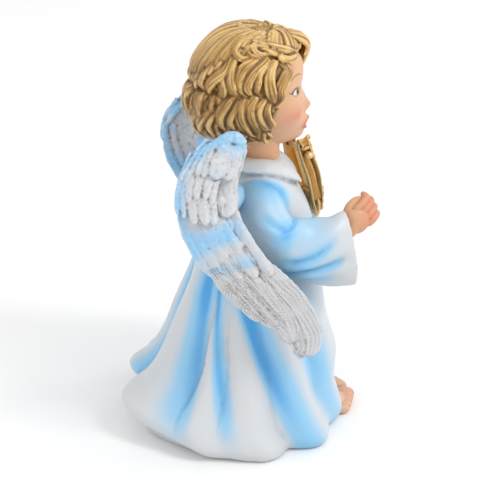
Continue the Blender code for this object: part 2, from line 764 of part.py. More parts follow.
right_hand = hand(Vector((-43.0, -89.0, 155.0)), Vector((-41.5, -98.5, 163.5)),
                  Vector((0.08, -0.78, 0.62)), Vector((1.0, 0.0, 0.0)), 2.6)
left_hand = hand(Vector((50.0, -79.0, 149.0)), Vector((49.0, -84.0, 150.0)),
                 Vector((-0.92, -0.30, 0.10)), Vector((0.0, 1.0, 0.0)), 1.0)
neck = tube("neck", [point(0.0, -35.0, 190.0), point(0.0, -35.0, 205.0), point(0.0, -34.0, 225.0)],
            [15.0 * U, 14.5 * U, 16.0 * U], [15.0 * U, 14.5 * U, 16.0 * U], sides=14)
carved_head = boolean("head", head(), "UNION", [neck, hair_mass(), hair_cap()] + locks() + roll(), 0.26)
figure_parts = [sleeve(-1.0), sleeve(1.0), collar(), carved_head]
figure_parts += [boolean("hand", parts[0], "UNION", parts[1:], 0.55) for parts in (right_hand, left_hand)]
for parts in (foot(-14.0, -2.5, 0.12), foot(19.0, -6.0, -0.12)):
    figure_parts.append(boolean("foot", parts[0], "UNION", parts[1:], 0.55))
sockets = [wing_root(GAP), mirrored(wing_root(GAP))] + lyre_parts(GAP)
figure = assemble("figure", gown(), figure_parts, sockets, ROBE_PAINT, 1.0)

wing_pieces = wing_feathers() + [wing_root()]
right_wing = assemble("right_wing", wing_sheet(), wing_pieces, [], WING_PAINT, 0.42)
left_wing = bpy.data.objects.new("left_wing", mirrored(right_wing.data))
bpy.context.scene.collection.objects.link(left_wing)

lyre = lyre_parts()
assemble("lyre", lyre[0], lyre[1:], [], GOLD_PAINT, 0.68)
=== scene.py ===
import bpy
import bmesh
import math
import numpy as np
from mathutils import Vector, Matrix, kdtree, noise


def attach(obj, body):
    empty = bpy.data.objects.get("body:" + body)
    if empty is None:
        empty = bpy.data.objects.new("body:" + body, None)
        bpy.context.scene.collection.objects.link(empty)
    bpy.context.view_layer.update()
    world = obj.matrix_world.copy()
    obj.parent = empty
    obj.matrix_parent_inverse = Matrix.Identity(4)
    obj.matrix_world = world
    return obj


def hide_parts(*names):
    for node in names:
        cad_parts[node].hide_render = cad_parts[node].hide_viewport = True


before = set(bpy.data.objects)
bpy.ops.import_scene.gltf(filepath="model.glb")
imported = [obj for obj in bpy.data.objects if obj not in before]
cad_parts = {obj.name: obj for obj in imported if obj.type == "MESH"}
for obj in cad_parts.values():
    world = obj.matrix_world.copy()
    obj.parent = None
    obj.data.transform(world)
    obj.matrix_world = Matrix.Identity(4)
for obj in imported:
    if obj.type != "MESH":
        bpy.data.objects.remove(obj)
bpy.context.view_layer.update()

MM = 0.001

# Fineness of each cast surface
ROBE_GRAIN = 1.42 * MM
HAIR_GRAIN = 0.72 * MM
WING_GRAIN = 0.66 * MM
HAND_GRAIN = 0.50 * MM
LYRE_GRAIN = 0.40 * MM


def smooth(low, high, value):
    share = min(1.0, max(0.0, (value - low) / (high - low)))
    return share * share * (3.0 - 2.0 * share)


def bell(distance, width):
    return math.exp(-(distance / width) ** 2)


def from_front(turn):
    """An angle in degrees, brought between -180 and 180."""
    return (turn + 180.0) % 360.0 - 180.0


def follow(keys, at):
    """A smooth curve through keys (position, value, value ...), read at one position."""
    at = min(keys[-1][0], max(keys[0][0], at))
    i = 0
    while i < len(keys) - 2 and at > keys[i + 1][0]:
        i += 1
    here, there = keys[i], keys[i + 1]
    span = there[0] - here[0]
    t = (at - here[0]) / span
    result = []
    for c in range(1, len(here)):
        before = keys[max(i - 1, 0)]
        after = keys[min(i + 2, len(keys) - 1)]
        start = (there[c] - before[c]) / (there[0] - before[0])
        end = (after[c] - here[c]) / (after[0] - here[0])
        result.append(
            (2 * t**3 - 3 * t**2 + 1) * here[c]
            + (t**3 - 2 * t**2 + t) * span * start
            + (3 * t**2 - 2 * t**3) * there[c]
            + (t**3 - t**2) * span * end
        )
    return result


def skin(name, rings, start=None, end=None):
    """A closed surface over equal rings of points, closed at each end on a point."""
    count = len(rings[0])
    points = [p for ring in rings for p in ring]
    faces = []
    for r in range(len(rings) - 1):
        for i in range(count):
            j = (i + 1) % count
            faces.append((r * count + i, r * count + j, (r + 1) * count + j, (r + 1) * count + i))
    for ring, tip, first, turned in (
        (rings[0], start, 0, True), (rings[-1], end, (len(rings) - 1) * count, False)
    ):
        if tip is None:
            tip = sum((Vector(p) for p in ring), Vector()) / count
        points.append(tip)
        top = len(points) - 1
        for i in range(count):
            j = (i + 1) % count
            faces.append((first + j, first + i, top) if turned else (first + i, first + j, top))
    mesh = bpy.data.meshes.new(name)
    mesh.from_pydata([tuple(p) for p in points], [], faces)
    bm = bmesh.new()
    bm.from_mesh(mesh)
    if bm.calc_volume(signed=True) < 0.0:
        bmesh.ops.reverse_faces(bm, faces=bm.faces)
    bm.to_mesh(mesh)
    bm.free()
    mesh.shade_smooth()
    return mesh


def frames(points, across):
    """Two axes across a path at each of its points, kept near one direction."""
    result = []
    for i in range(len(points)):
        ahead = points[min(i + 1, len(points) - 1)] - points[max(i - 1, 0)]
        ahead.normalize()
        side = across - ahead * across.dot(ahead)
        side.normalize()
        result.append((side, ahead.cross(side)))
    return result


def tube(name, points, widths, depths, across, sides=24):
    """A tapered tube along a path: widths lie along one direction, depths across it."""
    rings = []
    for spot, width, depth, (side, up) in zip(points, widths, depths, frames(points, across)):
        rings.append([
            spot + side * math.cos(2.0 * math.pi * k / sides) * width
            + up * math.sin(2.0 * math.pi * k / sides) * depth
            for k in range(sides)
        ])
    return skin(name, rings)


def rounded_path(points, radii, steps=18):
    """Points and radii along a smooth path, with its ends rounded off."""
    keys = [(float(i), *p, r) for i, (p, r) in enumerate(zip(points, radii))]
    spots, sizes = [], []
    for i in range(steps + 1):
        x, y, z, r = follow(keys, (len(points) - 1) * i / steps)
        spots.append(Vector((x, y, z)))
        sizes.append(r)
    first = spots[0] - spots[1]
    last = spots[-1] - spots[-2]
    start, end = spots[0].copy(), spots[-1].copy()
    r0, r1 = sizes[0], sizes[-1]
    for share in (0.5, 0.85, 0.99):
        spots.insert(0, start + first.normalized() * r0 * share)
        sizes.insert(0, r0 * math.sqrt(1.0 - share * share))
        spots.append(end + last.normalized() * r1 * share)
        sizes.append(r1 * math.sqrt(1.0 - share * share))
    return spots, sizes


def in_scene(name, data):
    """A new object, linked into the scene."""
    made = bpy.data.objects.new(name, data)
    bpy.context.scene.collection.objects.link(made)
    return made


def ball(name, centre, radii, turn=None, around=40, rings=24):
    turn = turn or Matrix.Identity(3)
    rows = []
    for i in range(1, rings):
        polar = math.pi * i / rings
        rows.append([
            centre + turn @ Vector((
                radii[0] * math.sin(polar) * math.cos(2.0 * math.pi * k / around),
                radii[1] * math.sin(polar) * math.sin(2.0 * math.pi * k / around),
                -radii[2] * math.cos(polar),
            ))
            for k in range(around)
        ])
    return skin(name, rows, centre + turn @ Vector((0.0, 0.0, -radii[2])),
                centre + turn @ Vector((0.0, 0.0, radii[2])))


# The node tree that gives a body to every lock, curl, feather and string along its path
def carved_path_tree():
    tree = bpy.data.node_groups.new("carved_path", "GeometryNodeTree")
    face = tree.interface
    face.new_socket("Paths", in_out="INPUT", socket_type="NodeSocketGeometry")
    sockets = {}
    for label, kind, value in (
        ("Sides", "NodeSocketInt", 20), ("Strands", "NodeSocketFloat", 3.0),
        ("Strand Depth", "NodeSocketFloat", 0.15), ("Barb Pitch", "NodeSocketFloat", 0.002),
        ("Barb Slope", "NodeSocketFloat", 1.0), ("Barb Depth", "NodeSocketFloat", 0.0),
        ("Shaft", "NodeSocketFloat", 0.0), ("Finish", "NodeSocketMaterial", None),
    ):
        made = face.new_socket(label, in_out="INPUT", socket_type=kind)
        if value is not None:
            made.default_value = value
        sockets[label] = made.identifier
    face.new_socket("Form", in_out="OUTPUT", socket_type="NodeSocketGeometry")
    nodes, links = tree.nodes, tree.links
    given = nodes.new("NodeGroupInput")

    def link(value, socket):
        if hasattr(value, "is_output"):
            links.new(value, socket)
        else:
            socket.default_value = value

    def math_node(operation, *values):
        made = nodes.new("ShaderNodeMath")
        made.operation = operation
        for value, socket in zip(values, made.inputs):
            link(value, socket)
        return made.outputs[0]

    def vector_node(operation, a, b=None, scale=None):
        made = nodes.new("ShaderNodeVectorMath")
        made.operation = operation
        link(a, made.inputs[0])
        if b is not None:
            link(b, made.inputs[1])
        if scale is not None:
            link(scale, made.inputs["Scale"])
        return made.outputs[0]

    def named(label, kind):
        made = nodes.new("GeometryNodeInputNamedAttribute")
        made.data_type = kind
        made.inputs["Name"].default_value = label
        return made.outputs["Attribute"]

    curve = nodes.new("GeometryNodeMeshToCurve")
    links.new(given.outputs["Paths"], curve.inputs["Mesh"])
    circle = nodes.new("GeometryNodeCurvePrimitiveCircle")
    circle.inputs["Radius"].default_value = 1.0
    links.new(given.outputs["Sides"], circle.inputs["Resolution"])
    keep = nodes.new("GeometryNodeStoreNamedAttribute")
    keep.data_type = "FLOAT_VECTOR"
    keep.inputs["Name"].default_value = "ring"
    links.new(circle.outputs["Curve"], keep.inputs["Geometry"])
    where = nodes.new("GeometryNodeInputPosition")
    links.new(where.outputs[0], keep.inputs["Value"])
    swept = nodes.new("GeometryNodeCurveToMesh")
    swept.inputs["Fill Caps"].default_value = True
    links.new(curve.outputs["Curve"], swept.inputs["Curve"])
    links.new(keep.outputs["Geometry"], swept.inputs["Profile Curve"])

    split = nodes.new("ShaderNodeSeparateXYZ")
    links.new(named("ring", "FLOAT_VECTOR"), split.inputs[0])
    x, y = split.outputs["X"], split.outputs["Y"]
    wide, deep, along = named("wide", "FLOAT"), named("deep", "FLOAT"), named("along", "FLOAT")
    angle = math_node("ARCTAN2", y, x)
    ridge = math_node("ABSOLUTE", math_node("SINE", math_node("MULTIPLY", angle, given.outputs["Strands"])))
    strand = math_node("SUBTRACT", 1.0, math_node("MULTIPLY", given.outputs["Strand Depth"],
                                                  math_node("SUBTRACT", 1.0, ridge)))
    reach = math_node("MULTIPLY", math_node("ABSOLUTE", x), wide)
    slant = math_node("ADD", along, math_node("MULTIPLY", reach, given.outputs["Barb Slope"]))
    wave = math_node("DIVIDE", math_node("MULTIPLY", slant, math.pi), given.outputs["Barb Pitch"])
    barb = math_node("SUBTRACT", 1.0, math_node("MULTIPLY", given.outputs["Barb Depth"], math_node(
        "SUBTRACT", 1.0, math_node("ABSOLUTE", math_node("SINE", wave)))))
    quill = math_node("MULTIPLY", given.outputs["Shaft"], math_node(
        "EXPONENT", math_node("MULTIPLY", math_node("MULTIPLY", x, x), -45.0)))
    out = math_node("MULTIPLY", wide, math_node("MULTIPLY", x, strand))
    flat = math_node("ADD", math_node("MULTIPLY", y, math_node("MULTIPLY", strand, barb)),
                     math_node("MULTIPLY", quill, math_node("SIGN", y)))
    up = math_node("MULTIPLY", deep, flat)
    spot = vector_node("ADD", named("rail", "FLOAT_VECTOR"), vector_node(
        "ADD", vector_node("SCALE", named("side", "FLOAT_VECTOR"), scale=out),
        vector_node("SCALE", named("up", "FLOAT_VECTOR"), scale=up)))
    place = nodes.new("GeometryNodeSetPosition")
    links.new(swept.outputs["Mesh"], place.inputs["Geometry"])
    links.new(spot, place.inputs["Position"])
    realize = nodes.new("GeometryNodeRealizeInstances")
    links.new(place.outputs["Geometry"], realize.inputs["Geometry"])
    finish = nodes.new("GeometryNodeSetMaterial")
    links.new(realize.outputs["Geometry"], finish.inputs["Geometry"])
    links.new(given.outputs["Finish"], finish.inputs["Material"])
    result = nodes.new("NodeGroupOutput")
    links.new(finish.outputs["Geometry"], result.inputs["Form"])
    return tree, sockets


CARVED_PATH, CARVED_SOCKETS = carved_path_tree()


def plain_mesh(made):
    """The evaluated result of an object as a plain mesh; the object goes."""
    bpy.context.view_layer.update()
    seen = made.evaluated_get(bpy.context.evaluated_depsgraph_get())
    mesh = bpy.data.meshes.new_from_object(seen)
    old = made.data
    bpy.data.objects.remove(made, do_unlink=True)
    if old.users == 0:
        bpy.data.meshes.remove(old)
    return mesh


def carve_paths(name, paths, finish, **settings):
    """Bodies along paths. A path is a list of (place, side, up, half width, half depth, along)."""
    points, edges = [], []
    columns = {"side": [], "up": [], "wide": [], "deep": [], "along": []}
    for path in paths:
        first = len(points)
        for spot, side, up, wide, deep, along in path:
            points.append(tuple(spot))
            columns["side"] += list(side)
            columns["up"] += list(up)
            columns["wide"].append(wide)
            columns["deep"].append(deep)
            columns["along"].append(along)
        edges += [(first + i, first + i + 1) for i in range(len(path) - 1)]
    mesh = bpy.data.meshes.new(name)
    mesh.from_pydata(points, edges, [])
    rail = mesh.attributes.new("rail", "FLOAT_VECTOR", "POINT")
    rail.data.foreach_set("vector", [c for p in points for c in p])
    for label in ("side", "up"):
        mesh.attributes.new(label, "FLOAT_VECTOR", "POINT").data.foreach_set("vector", columns[label])
    for label in ("wide", "deep", "along"):
        mesh.attributes.new(label, "FLOAT", "POINT").data.foreach_set("value", columns[label])
    made = in_scene(name, mesh)
    step = made.modifiers.new("carved_path", "NODES")
    step.node_group = CARVED_PATH
    step[CARVED_SOCKETS["Finish"]] = finish
    for label, value in settings.items():
        step[CARVED_SOCKETS[label.replace("_", " ")]] = value
    result = plain_mesh(made)
    bm = bmesh.new()
    bm.from_mesh(result)
    bmesh.ops.recalc_face_normals(bm, faces=bm.faces)
    bm.to_mesh(result)
    bm.free()
    return result


def cast(name, meshes, grain, rounds=2):
    """Forms fused into one casting, with the edges between them softened."""
    bm = bmesh.new()
    for mesh in meshes:
        bm.from_mesh(mesh)
    joined = bpy.data.meshes.new(name)
    bm.to_mesh(joined)
    bm.free()
    for attribute in list(joined.attributes):
        if not attribute.is_internal and not attribute.is_required:
            joined.attributes.remove(attribute)
    made = in_scene(name, joined)
    step = made.modifiers.new("fuse", "REMESH")
    step.mode = "VOXEL"
    step.voxel_size = grain
    step.adaptivity = 0.0
    step.use_smooth_shade = True
    result = plain_mesh(made)
    bm = bmesh.new()
    bm.from_mesh(result)
    bm.faces.ensure_lookup_table()
    seen, shells = set(), []
    for face in bm.faces:
        if face.index in seen:
            continue
        shell, edge = [], [face]
        seen.add(face.index)
        while edge:
            here = edge.pop()
            shell.append(here)
            for side in here.edges:
                for other in side.link_faces:
                    if other.index not in seen:
                        seen.add(other.index)
                        edge.append(other)
        shells.append(shell)
    shells.sort(key=len, reverse=True)
    spare = [f for shell in shells[1:] for f in shell]
    if spare:
        bmesh.ops.delete(bm, geom=spare, context="FACES")
    bm.to_mesh(result)
    bm.free()
    relax(result, rounds)
    result.name = name
    return result


def read(mesh):
    points = np.empty(len(mesh.vertices) * 3)
    mesh.vertices.foreach_get("co", points)
    edges = np.empty(len(mesh.edges) * 2, dtype=np.int64)
    mesh.edges.foreach_get("vertices", edges)
    return points.reshape(-1, 3), edges.reshape(-1, 2)


def averaged(values, edges, count, rounds, share=1.0):
    """Values spread over neighbouring points, a number of rounds."""
    degree = np.bincount(edges.ravel(), minlength=count).astype(float)
    degree[degree == 0] = 1.0
    values = values.copy()
    flat = values.ndim == 1
    if flat:
        values = values[:, None]
    for _ in range(rounds):
        total = np.empty_like(values)
        for c in range(values.shape[1]):
            total[:, c] = (
                np.bincount(edges[:, 0], weights=values[edges[:, 1], c], minlength=count)
                + np.bincount(edges[:, 1], weights=values[edges[:, 0], c], minlength=count)
            )
        values += (total / degree[:, None] - values) * share
    return values[:, 0] if flat else values


def relax(mesh, rounds):
    """Evens the surface without shrinking it: each round smooths in and then out again."""
    if not rounds:
        return
    points, edges = read(mesh)
    count = len(points)
    for _ in range(rounds):
        points = averaged(points, edges, count, 1, 0.62)
        points = averaged(points, edges, count, 1, -0.64)
    mesh.vertices.foreach_set("co", points.ravel())
    mesh.update()


def normals(mesh):
    result = np.empty(len(mesh.vertices) * 3)
    mesh.vertices.foreach_get("normal", result)
    return result.reshape(-1, 3)


def keep(mesh, label, values):
    made = mesh.attributes.new(label, "FLOAT", "POINT")
    made.data.foreach_set("value", np.asarray(values, dtype=np.float32))


def hollows(mesh, label, rounds, depth):
    """Marks hollows, between 0 on a rise and 1 in a groove of the given depth."""
    points, edges = read(mesh)
    away = averaged(points, edges, len(points), rounds) - points
    lift = np.einsum("ij,ij->i", away, normals(mesh))
    keep(mesh, label, np.clip(0.5 + 0.5 * lift / depth, 0.0, 1.0))


def keep_path_places(mesh, paths):
    """Stores, for each point, where it lies on the nearest path: across it and along it, in millimetres."""
    samples = [(i, spot, side, along) for i, path in enumerate(paths) for spot, side, _, _, _, along in path]
    tree = kdtree.KDTree(len(samples))
    for k, (_, spot, _, _) in enumerate(samples):
        tree.insert(spot, k)
    tree.balance()
    across, length, owner = [], [], []
    for vertex in mesh.vertices:
        _, k, _ = tree.find(vertex.co)
        i, spot, side, along = samples[k]
        across.append((vertex.co - spot).dot(side) * 1000.0)
        length.append(along * 1000.0)
        owner.append(i)
    keep(mesh, "strand", across)
    keep(mesh, "along", length)
    keep(mesh, "lock", owner)
    return np.array(owner)


def piece(name, mesh, finish, node):
    mesh.materials.clear()
    mesh.materials.append(finish)
    mesh.shade_smooth()
    made = in_scene(name, mesh)
    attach(made, "root")
    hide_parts(node)


# Finishes
class Finish:
    """A painted finish on one shader, with helpers for its masks, colours and relief."""

    def __init__(self, name, roughness, specular=0.5, coat=0.0, metallic=0.0):
        self.material = bpy.data.materials.new(name)
        self.material.use_nodes = True
        self.nodes = self.material.node_tree.nodes
        self.links = self.material.node_tree.links
        self.shader = self.nodes["Principled BSDF"]
        self.shader.inputs["Roughness"].default_value = roughness
        self.shader.inputs["Specular IOR Level"].default_value = specular
        self.shader.inputs["Coat Weight"].default_value = coat
        self.shader.inputs["Coat Roughness"].default_value = 0.3
        self.shader.inputs["Metallic"].default_value = metallic
        self.place = self.nodes.new("ShaderNodeTexCoord").outputs["Object"]

    def set(self, value, socket):
        if hasattr(value, "is_output"):
            self.links.new(value, socket)
        elif isinstance(value, tuple) and len(value) == 3 and len(socket.default_value) == 4:
            socket.default_value = (*value, 1.0)
        else:
            socket.default_value = value

    def mask(self, label):
        made = self.nodes.new("ShaderNodeAttribute")
        made.attribute_name = label
        return made.outputs["Fac"]

    def math(self, operation, a, b=0.0, clamp=False):
        made = self.nodes.new("ShaderNodeMath")
        made.operation = operation
        made.use_clamp = clamp
        self.set(a, made.inputs[0])
        self.set(b, made.inputs[1])
        return made.outputs[0]

    def span(self, value, low, high, start=0.0, end=1.0):
        made = self.nodes.new("ShaderNodeMapRange")
        made.interpolation_type = "SMOOTHSTEP"
        self.set(value, made.inputs["Value"])
        for label, number in (("From Min", low), ("From Max", high), ("To Min", start), ("To Max", end)):
            made.inputs[label].default_value = number
        return made.outputs["Result"]

    def mix(self, share, a, b):
        made = self.nodes.new("ShaderNodeMix")
        made.data_type = "RGBA"
        self.set(share, made.inputs["Factor"])
        self.set(a, made.inputs["A"])
        self.set(b, made.inputs["B"])
        return made.outputs["Result"]

    def noise(self, scale, detail=4.0, place=None):
        made = self.nodes.new("ShaderNodeTexNoise")
        made.inputs["Scale"].default_value = scale
        made.inputs["Detail"].default_value = detail
        made.inputs["Roughness"].default_value = 0.55
        self.links.new(place or self.place, made.inputs["Vector"])
        return made.outputs["Fac"]

    def along_strands(self, across, along):
        """A place that changes quickly across a strand and slowly along it."""
        made = self.nodes.new("ShaderNodeCombineXYZ")
        start = self.math("MULTIPLY", self.mask("lock"), 7.3)
        self.set(self.math("ADD", self.math("MULTIPLY", self.mask("strand"), across), start), made.inputs[0])
        self.set(self.math("MULTIPLY", self.mask("along"), along), made.inputs[1])
        return made.outputs[0]

    def uneven(self, noise, amount):
        """Noise that adds as often as it takes away."""
        return self.math("MULTIPLY", self.math("SUBTRACT", noise, 0.5), amount)

    def bump(self, height, strength, distance):
        made = self.nodes.new("ShaderNodeBump")
        made.inputs["Strength"].default_value = strength
        made.inputs["Distance"].default_value = distance
        self.set(height, made.inputs["Height"])
        self.links.new(made.outputs["Normal"], self.shader.inputs["Normal"])

    def colour(self, value):
        self.set(value, self.shader.inputs["Base Color"])

    def rough(self, value):
        self.set(value, self.shader.inputs["Roughness"])


def srgb(r, g, b):
    """A paint colour given as it looks on a screen under the studio light, 0 to 255."""
    return tuple(
        c / 255.0 / 15.0 if c / 255.0 <= 0.04045 else 0.86 * ((c / 255.0 + 0.055) / 1.055) ** 2.4
        for c in (r, g, b)
    )


def robe_finish():
    f = Finish("airbrushed_robe", 0.42, 0.45, 0.12)
    white, blue, deep = srgb(211, 214, 217), srgb(146, 203, 238), srgb(76, 166, 230)
    cloud = f.noise(28.0, 3.0)
    amount = f.math("ADD", f.mask("blue"), f.uneven(cloud, 0.22))
    tint = f.mix(f.span(amount, 0.02, 0.68), white, blue)
    tint = f.mix(f.span(amount, 0.62, 1.15), tint, deep)
    # painted shade: a darker grey-blue deep in the hollows of the folds
    hollow_shade = f.span(f.mask("hollow"), 0.66, 1.0, 0.0, 0.22)
    tint = f.mix(hollow_shade, tint, srgb(92, 130, 158))
    # painted shadow of the wings on the robe, a darker grey-blue along their front edges
    shade = f.math("MULTIPLY", f.mask("shade"), f.span(cloud, 0.2, 0.7, 0.30, 0.62))
    tint = f.mix(shade, tint, srgb(84, 116, 136))
    speck = f.span(f.noise(420.0, 2.0), 0.66, 0.72, 0.0, 0.10)
    tint = f.mix(speck, tint, srgb(198, 203, 206))
    f.colour(tint)
    f.rough(f.span(f.noise(60.0, 3.0), 0.3, 0.7, 0.34, 0.50))
    f.bump(f.noise(900.0, 3.0), 0.18, 0.0004)
    return f.material


def wing_finish(name):
    f = Finish(name, 0.46, 0.4, 0.06)
    white, blue, deep = srgb(208, 209, 212), srgb(150, 202, 238), srgb(104, 180, 232)
    amount = f.math("ADD", f.mask("blue"), f.uneven(f.noise(60.0, 4.0), 1.2))
    tint = f.mix(f.span(amount, 0.15, 0.85), white, blue)
    tint = f.mix(f.span(amount, 0.85, 1.45), tint, deep)
    speckle = f.uneven(f.noise(210.0, 5.0), 0.55)
    darkening = f.math("ADD", f.mask("hollow"), speckle)
    tint = f.mix(f.span(darkening, 0.56, 0.92, 0.0, 0.72), tint, srgb(146, 134, 120))
    scratches = f.noise(1.0, 3.0, f.along_strands(1.0, 0.12))
    tint = f.mix(f.span(scratches, 0.54, 0.76, 0.0, 0.34), tint, srgb(150, 142, 132))
    patch = f.span(f.noise(46.0, 3.0), 0.38, 0.58)
    rust = f.math("MULTIPLY", f.span(f.math("ADD", f.mask("wide_hollow"), speckle), 0.56, 0.90), patch)
    tint = f.mix(f.math("MULTIPLY", rust, 0.9), tint, srgb(112, 82, 58))
    # barbs cut as fine lines that slant off the shaft of each long feather
    off = f.math("ABSOLUTE", f.mask("strand"))
    slant = f.math("SUBTRACT", f.mask("along"), f.math("MULTIPLY", off, 0.9))
    slant = f.math("ADD", slant, f.math("MULTIPLY", f.noise(120.0, 2.0), 1.6))
    lines = f.span(f.math("ABSOLUTE", f.math("SINE", f.math("MULTIPLY", slant, math.pi / 2.6))), 0.30, 0.06)
    lines = f.math("MAXIMUM", lines, f.span(off, 0.45, 0.15))
    worn = f.span(f.noise(95.0, 3.0), 0.36, 0.56, 0.25, 1.0)
    lines = f.math("MULTIPLY", f.math("MULTIPLY", lines, f.mask("barbs")), worn)
    tint = f.mix(f.math("MULTIPLY", lines, 0.75), tint, srgb(128, 108, 90))
    # painted highlight: a near white on the rises of the feathers
    tint = f.mix(f.span(f.mask("hollow"), 0.42, 0.2, 0.0, 0.3), tint, srgb(240, 242, 244))
    f.colour(tint)
    f.rough(f.span(f.noise(90.0, 3.0), 0.3, 0.7, 0.36, 0.55))
    strokes = f.math("SUBTRACT", f.noise(420.0, 5.0), scratches)
    f.bump(f.math("SUBTRACT", strokes, lines), 0.7, 0.0007)
    return f.material


def hair_finish():
    f = Finish("golden_brown_hair", 0.36, 0.5, 0.12)
    high, middle = srgb(230, 190, 120), srgb(178, 132, 62)
    low, dark = srgb(118, 80, 20), srgb(58, 36, 10)
    streaks = f.noise(1.0, 3.0, f.along_strands(0.66, 0.05))
    streaked = f.math("ADD", f.mask("hollow"), f.uneven(streaks, 1.45))
    # painted light: the broad tone is darker low on the head and paler towards the crown, with uneven tone
    # over it
    broad = f.math("ADD", f.mask("darkening"), f.uneven(f.noise(42.0, 3.0), 0.40))
    darkening = f.math("ADD", streaked, broad)
    # paler on the rises and darker down in the grooves between strands: partly a brown wash, partly painted
    # highlight and painted shade
    tint = f.mix(f.span(darkening, 0.20, 0.50), high, middle)
    tint = f.mix(f.span(darkening, 0.46, 0.76), tint, low)
    tint = f.mix(f.span(darkening, 0.72, 1.02, 0.0, 0.94), tint, dark)
    # painted shade: darker in the wide hollows between the locks
    tint = f.mix(f.span(f.mask("wide_hollow"), 0.46, 0.84, 0.0, 0.85), tint, low)
    # painted shadow: near black in the pinholes and curl centres
    tint = f.mix(f.mask("pit_shadow"), tint, srgb(26, 17, 12))
    f.colour(tint)
    f.rough(f.span(f.noise(150.0, 3.0), 0.3, 0.7, 0.28, 0.46))
    f.bump(f.math("ADD", streaks, f.math("MULTIPLY", f.noise(700.0, 3.0), 0.2)), 0.9, 0.0009)
    return f.material


def skin_finish(name, bare, shade):
    f = Finish(name, 0.44, 0.4, 0.08)
    tone = f.mix(f.span(f.noise(30.0, 3.0), 0.3, 0.7, 0.0, 0.5), bare, shade)
    tone = f.mix(f.math("MULTIPLY", f.mask("blush"), 0.80, clamp=True), tone, srgb(224, 118, 98))
    # painted shade: a darker skin tone in the creases and hollows
    tone = f.mix(f.span(f.mask("hollow"), 0.6, 0.95, 0.0, 0.6), tone, srgb(170, 104, 70))
    tone = f.mix(f.mask("lips"), tone, srgb(196, 72, 70))
    tone = f.mix(f.mask("mouth"), tone, srgb(90, 28, 30))
    tone = f.mix(f.mask("eye_white"), tone, srgb(232, 224, 214))
    tone = f.mix(f.mask("iris"), tone, srgb(48, 26, 14))
    tone = f.mix(f.mask("dark_line"), tone, srgb(46, 30, 22))
    tone = f.mix(f.mask("glint"), tone, (1.0, 1.0, 1.0))
    f.colour(tone)
    f.rough(f.span(f.noise(80.0, 3.0), 0.3, 0.7, 0.38, 0.5))
    f.bump(f.noise(900.0, 3.0), 0.12, 0.0003)
    return f.material


def gold_finish():
    f = Finish("antique_gold", 0.34, 0.5, 0.1, 0.55)
    darkening = f.math("ADD", f.mask("hollow"), f.uneven(f.noise(220.0, 4.0), 0.35))
    bright = f.mix(f.span(f.noise(70.0, 3.0), 0.35, 0.65), srgb(222, 180, 116), srgb(206, 158, 106))
    tint = f.mix(f.span(darkening, 0.25, 0.55), bright, srgb(186, 134, 54))
    # painted shade with a warm reflection on the inner faces of the arms
    tint = f.mix(f.mask("inner_shade_and_reflection"), tint, srgb(190, 126, 24))
    tint = f.mix(f.span(darkening, 0.55, 0.95), tint, srgb(84, 54, 18))
    # painted highlight: a pale gold on the rims and rises
    tint = f.mix(f.span(f.mask("hollow"), 0.40, 0.15, 0.0, 0.7), tint, srgb(250, 222, 160))
    f.colour(tint)
    f.rough(f.span(f.noise(140.0, 3.0), 0.3, 0.7, 0.26, 0.46))
    f.bump(f.noise(900.0, 4.0), 0.25, 0.0003)
    return f.material


ROBE_FINISH = robe_finish()
HAIR_FINISH = hair_finish()
FACE_FINISH = skin_finish("painted_face", srgb(224, 176, 140), srgb(216, 164, 126))
SKIN_FINISH = skin_finish("painted_skin", srgb(221, 170, 131), srgb(208, 153, 114))
FEET_FINISH = skin_finish("painted_feet", srgb(222, 188, 158), srgb(214, 172, 138))
GOLD_FINISH = gold_finish()
WING_FINISHES = {"right_wing": wing_finish("right_wing_paint"), "left_wing": wing_finish("left_wing_paint")}

# Robe
# The gown: height, front, back and half width of each level, in millimetres
GOWN = (
    (0.0, -90.0, 50.0, 84.0),
    (8.0, -94.0, 60.0, 87.0),
    (20.0, -91.0, 62.0, 84.0),
    (36.0, -86.5, 49.0, 77.0),
    (60.0, -86.0, 35.0, 69.0),
    (85.0, -83.0, 26.0, 61.0),
    (114.0, -80.0, 15.0, 53.0),
    (140.0, -76.0, 8.0, 46.0),
    (160.0, -72.0, 2.0, 43.0),
    (176.0, -65.0, -2.0, 42.0),
    (187.0, -58.0, -6.0, 37.0),
    (195.0, -54.0, -13.0, 28.0),
    (199.5, -50.0, -20.0, 17.0),
)
# Angles of the valleys between the folds, round to the far side of the train
LAST_NEAR_VALLEY = 188.0
VALLEYS = (-32.0, 2.0, 31.0, 65.0, 104.0, 128.0, LAST_NEAR_VALLEY, 217.0, 251.0, 289.0)
TRAIN_LIFT = 15.0
# Place of the middle of the underside, from front to back, in metres
UNDERSIDE_Y = -0.018
# How softly the blue fades before and after each valley, as a share of the fold beside it
FADES = ((0.45, 0.45), (0.40, 0.40), (0.45, 0.50), (0.66, 0.26), (0.30, 0.34), (0.46, 0.40), (0.30, 0.50),
         (0.70, 0.30), (0.34, 0.30), (0.26, 0.66))
# The valleys that run out before the hem
STOPPED_VALLEYS = (4, 5, 7, 8)
VALLEY_TONES = (0.85, 0.55, 0.62, 1.0, 0.98, 0.92, 0.80, 0.92, 0.98, 1.0)


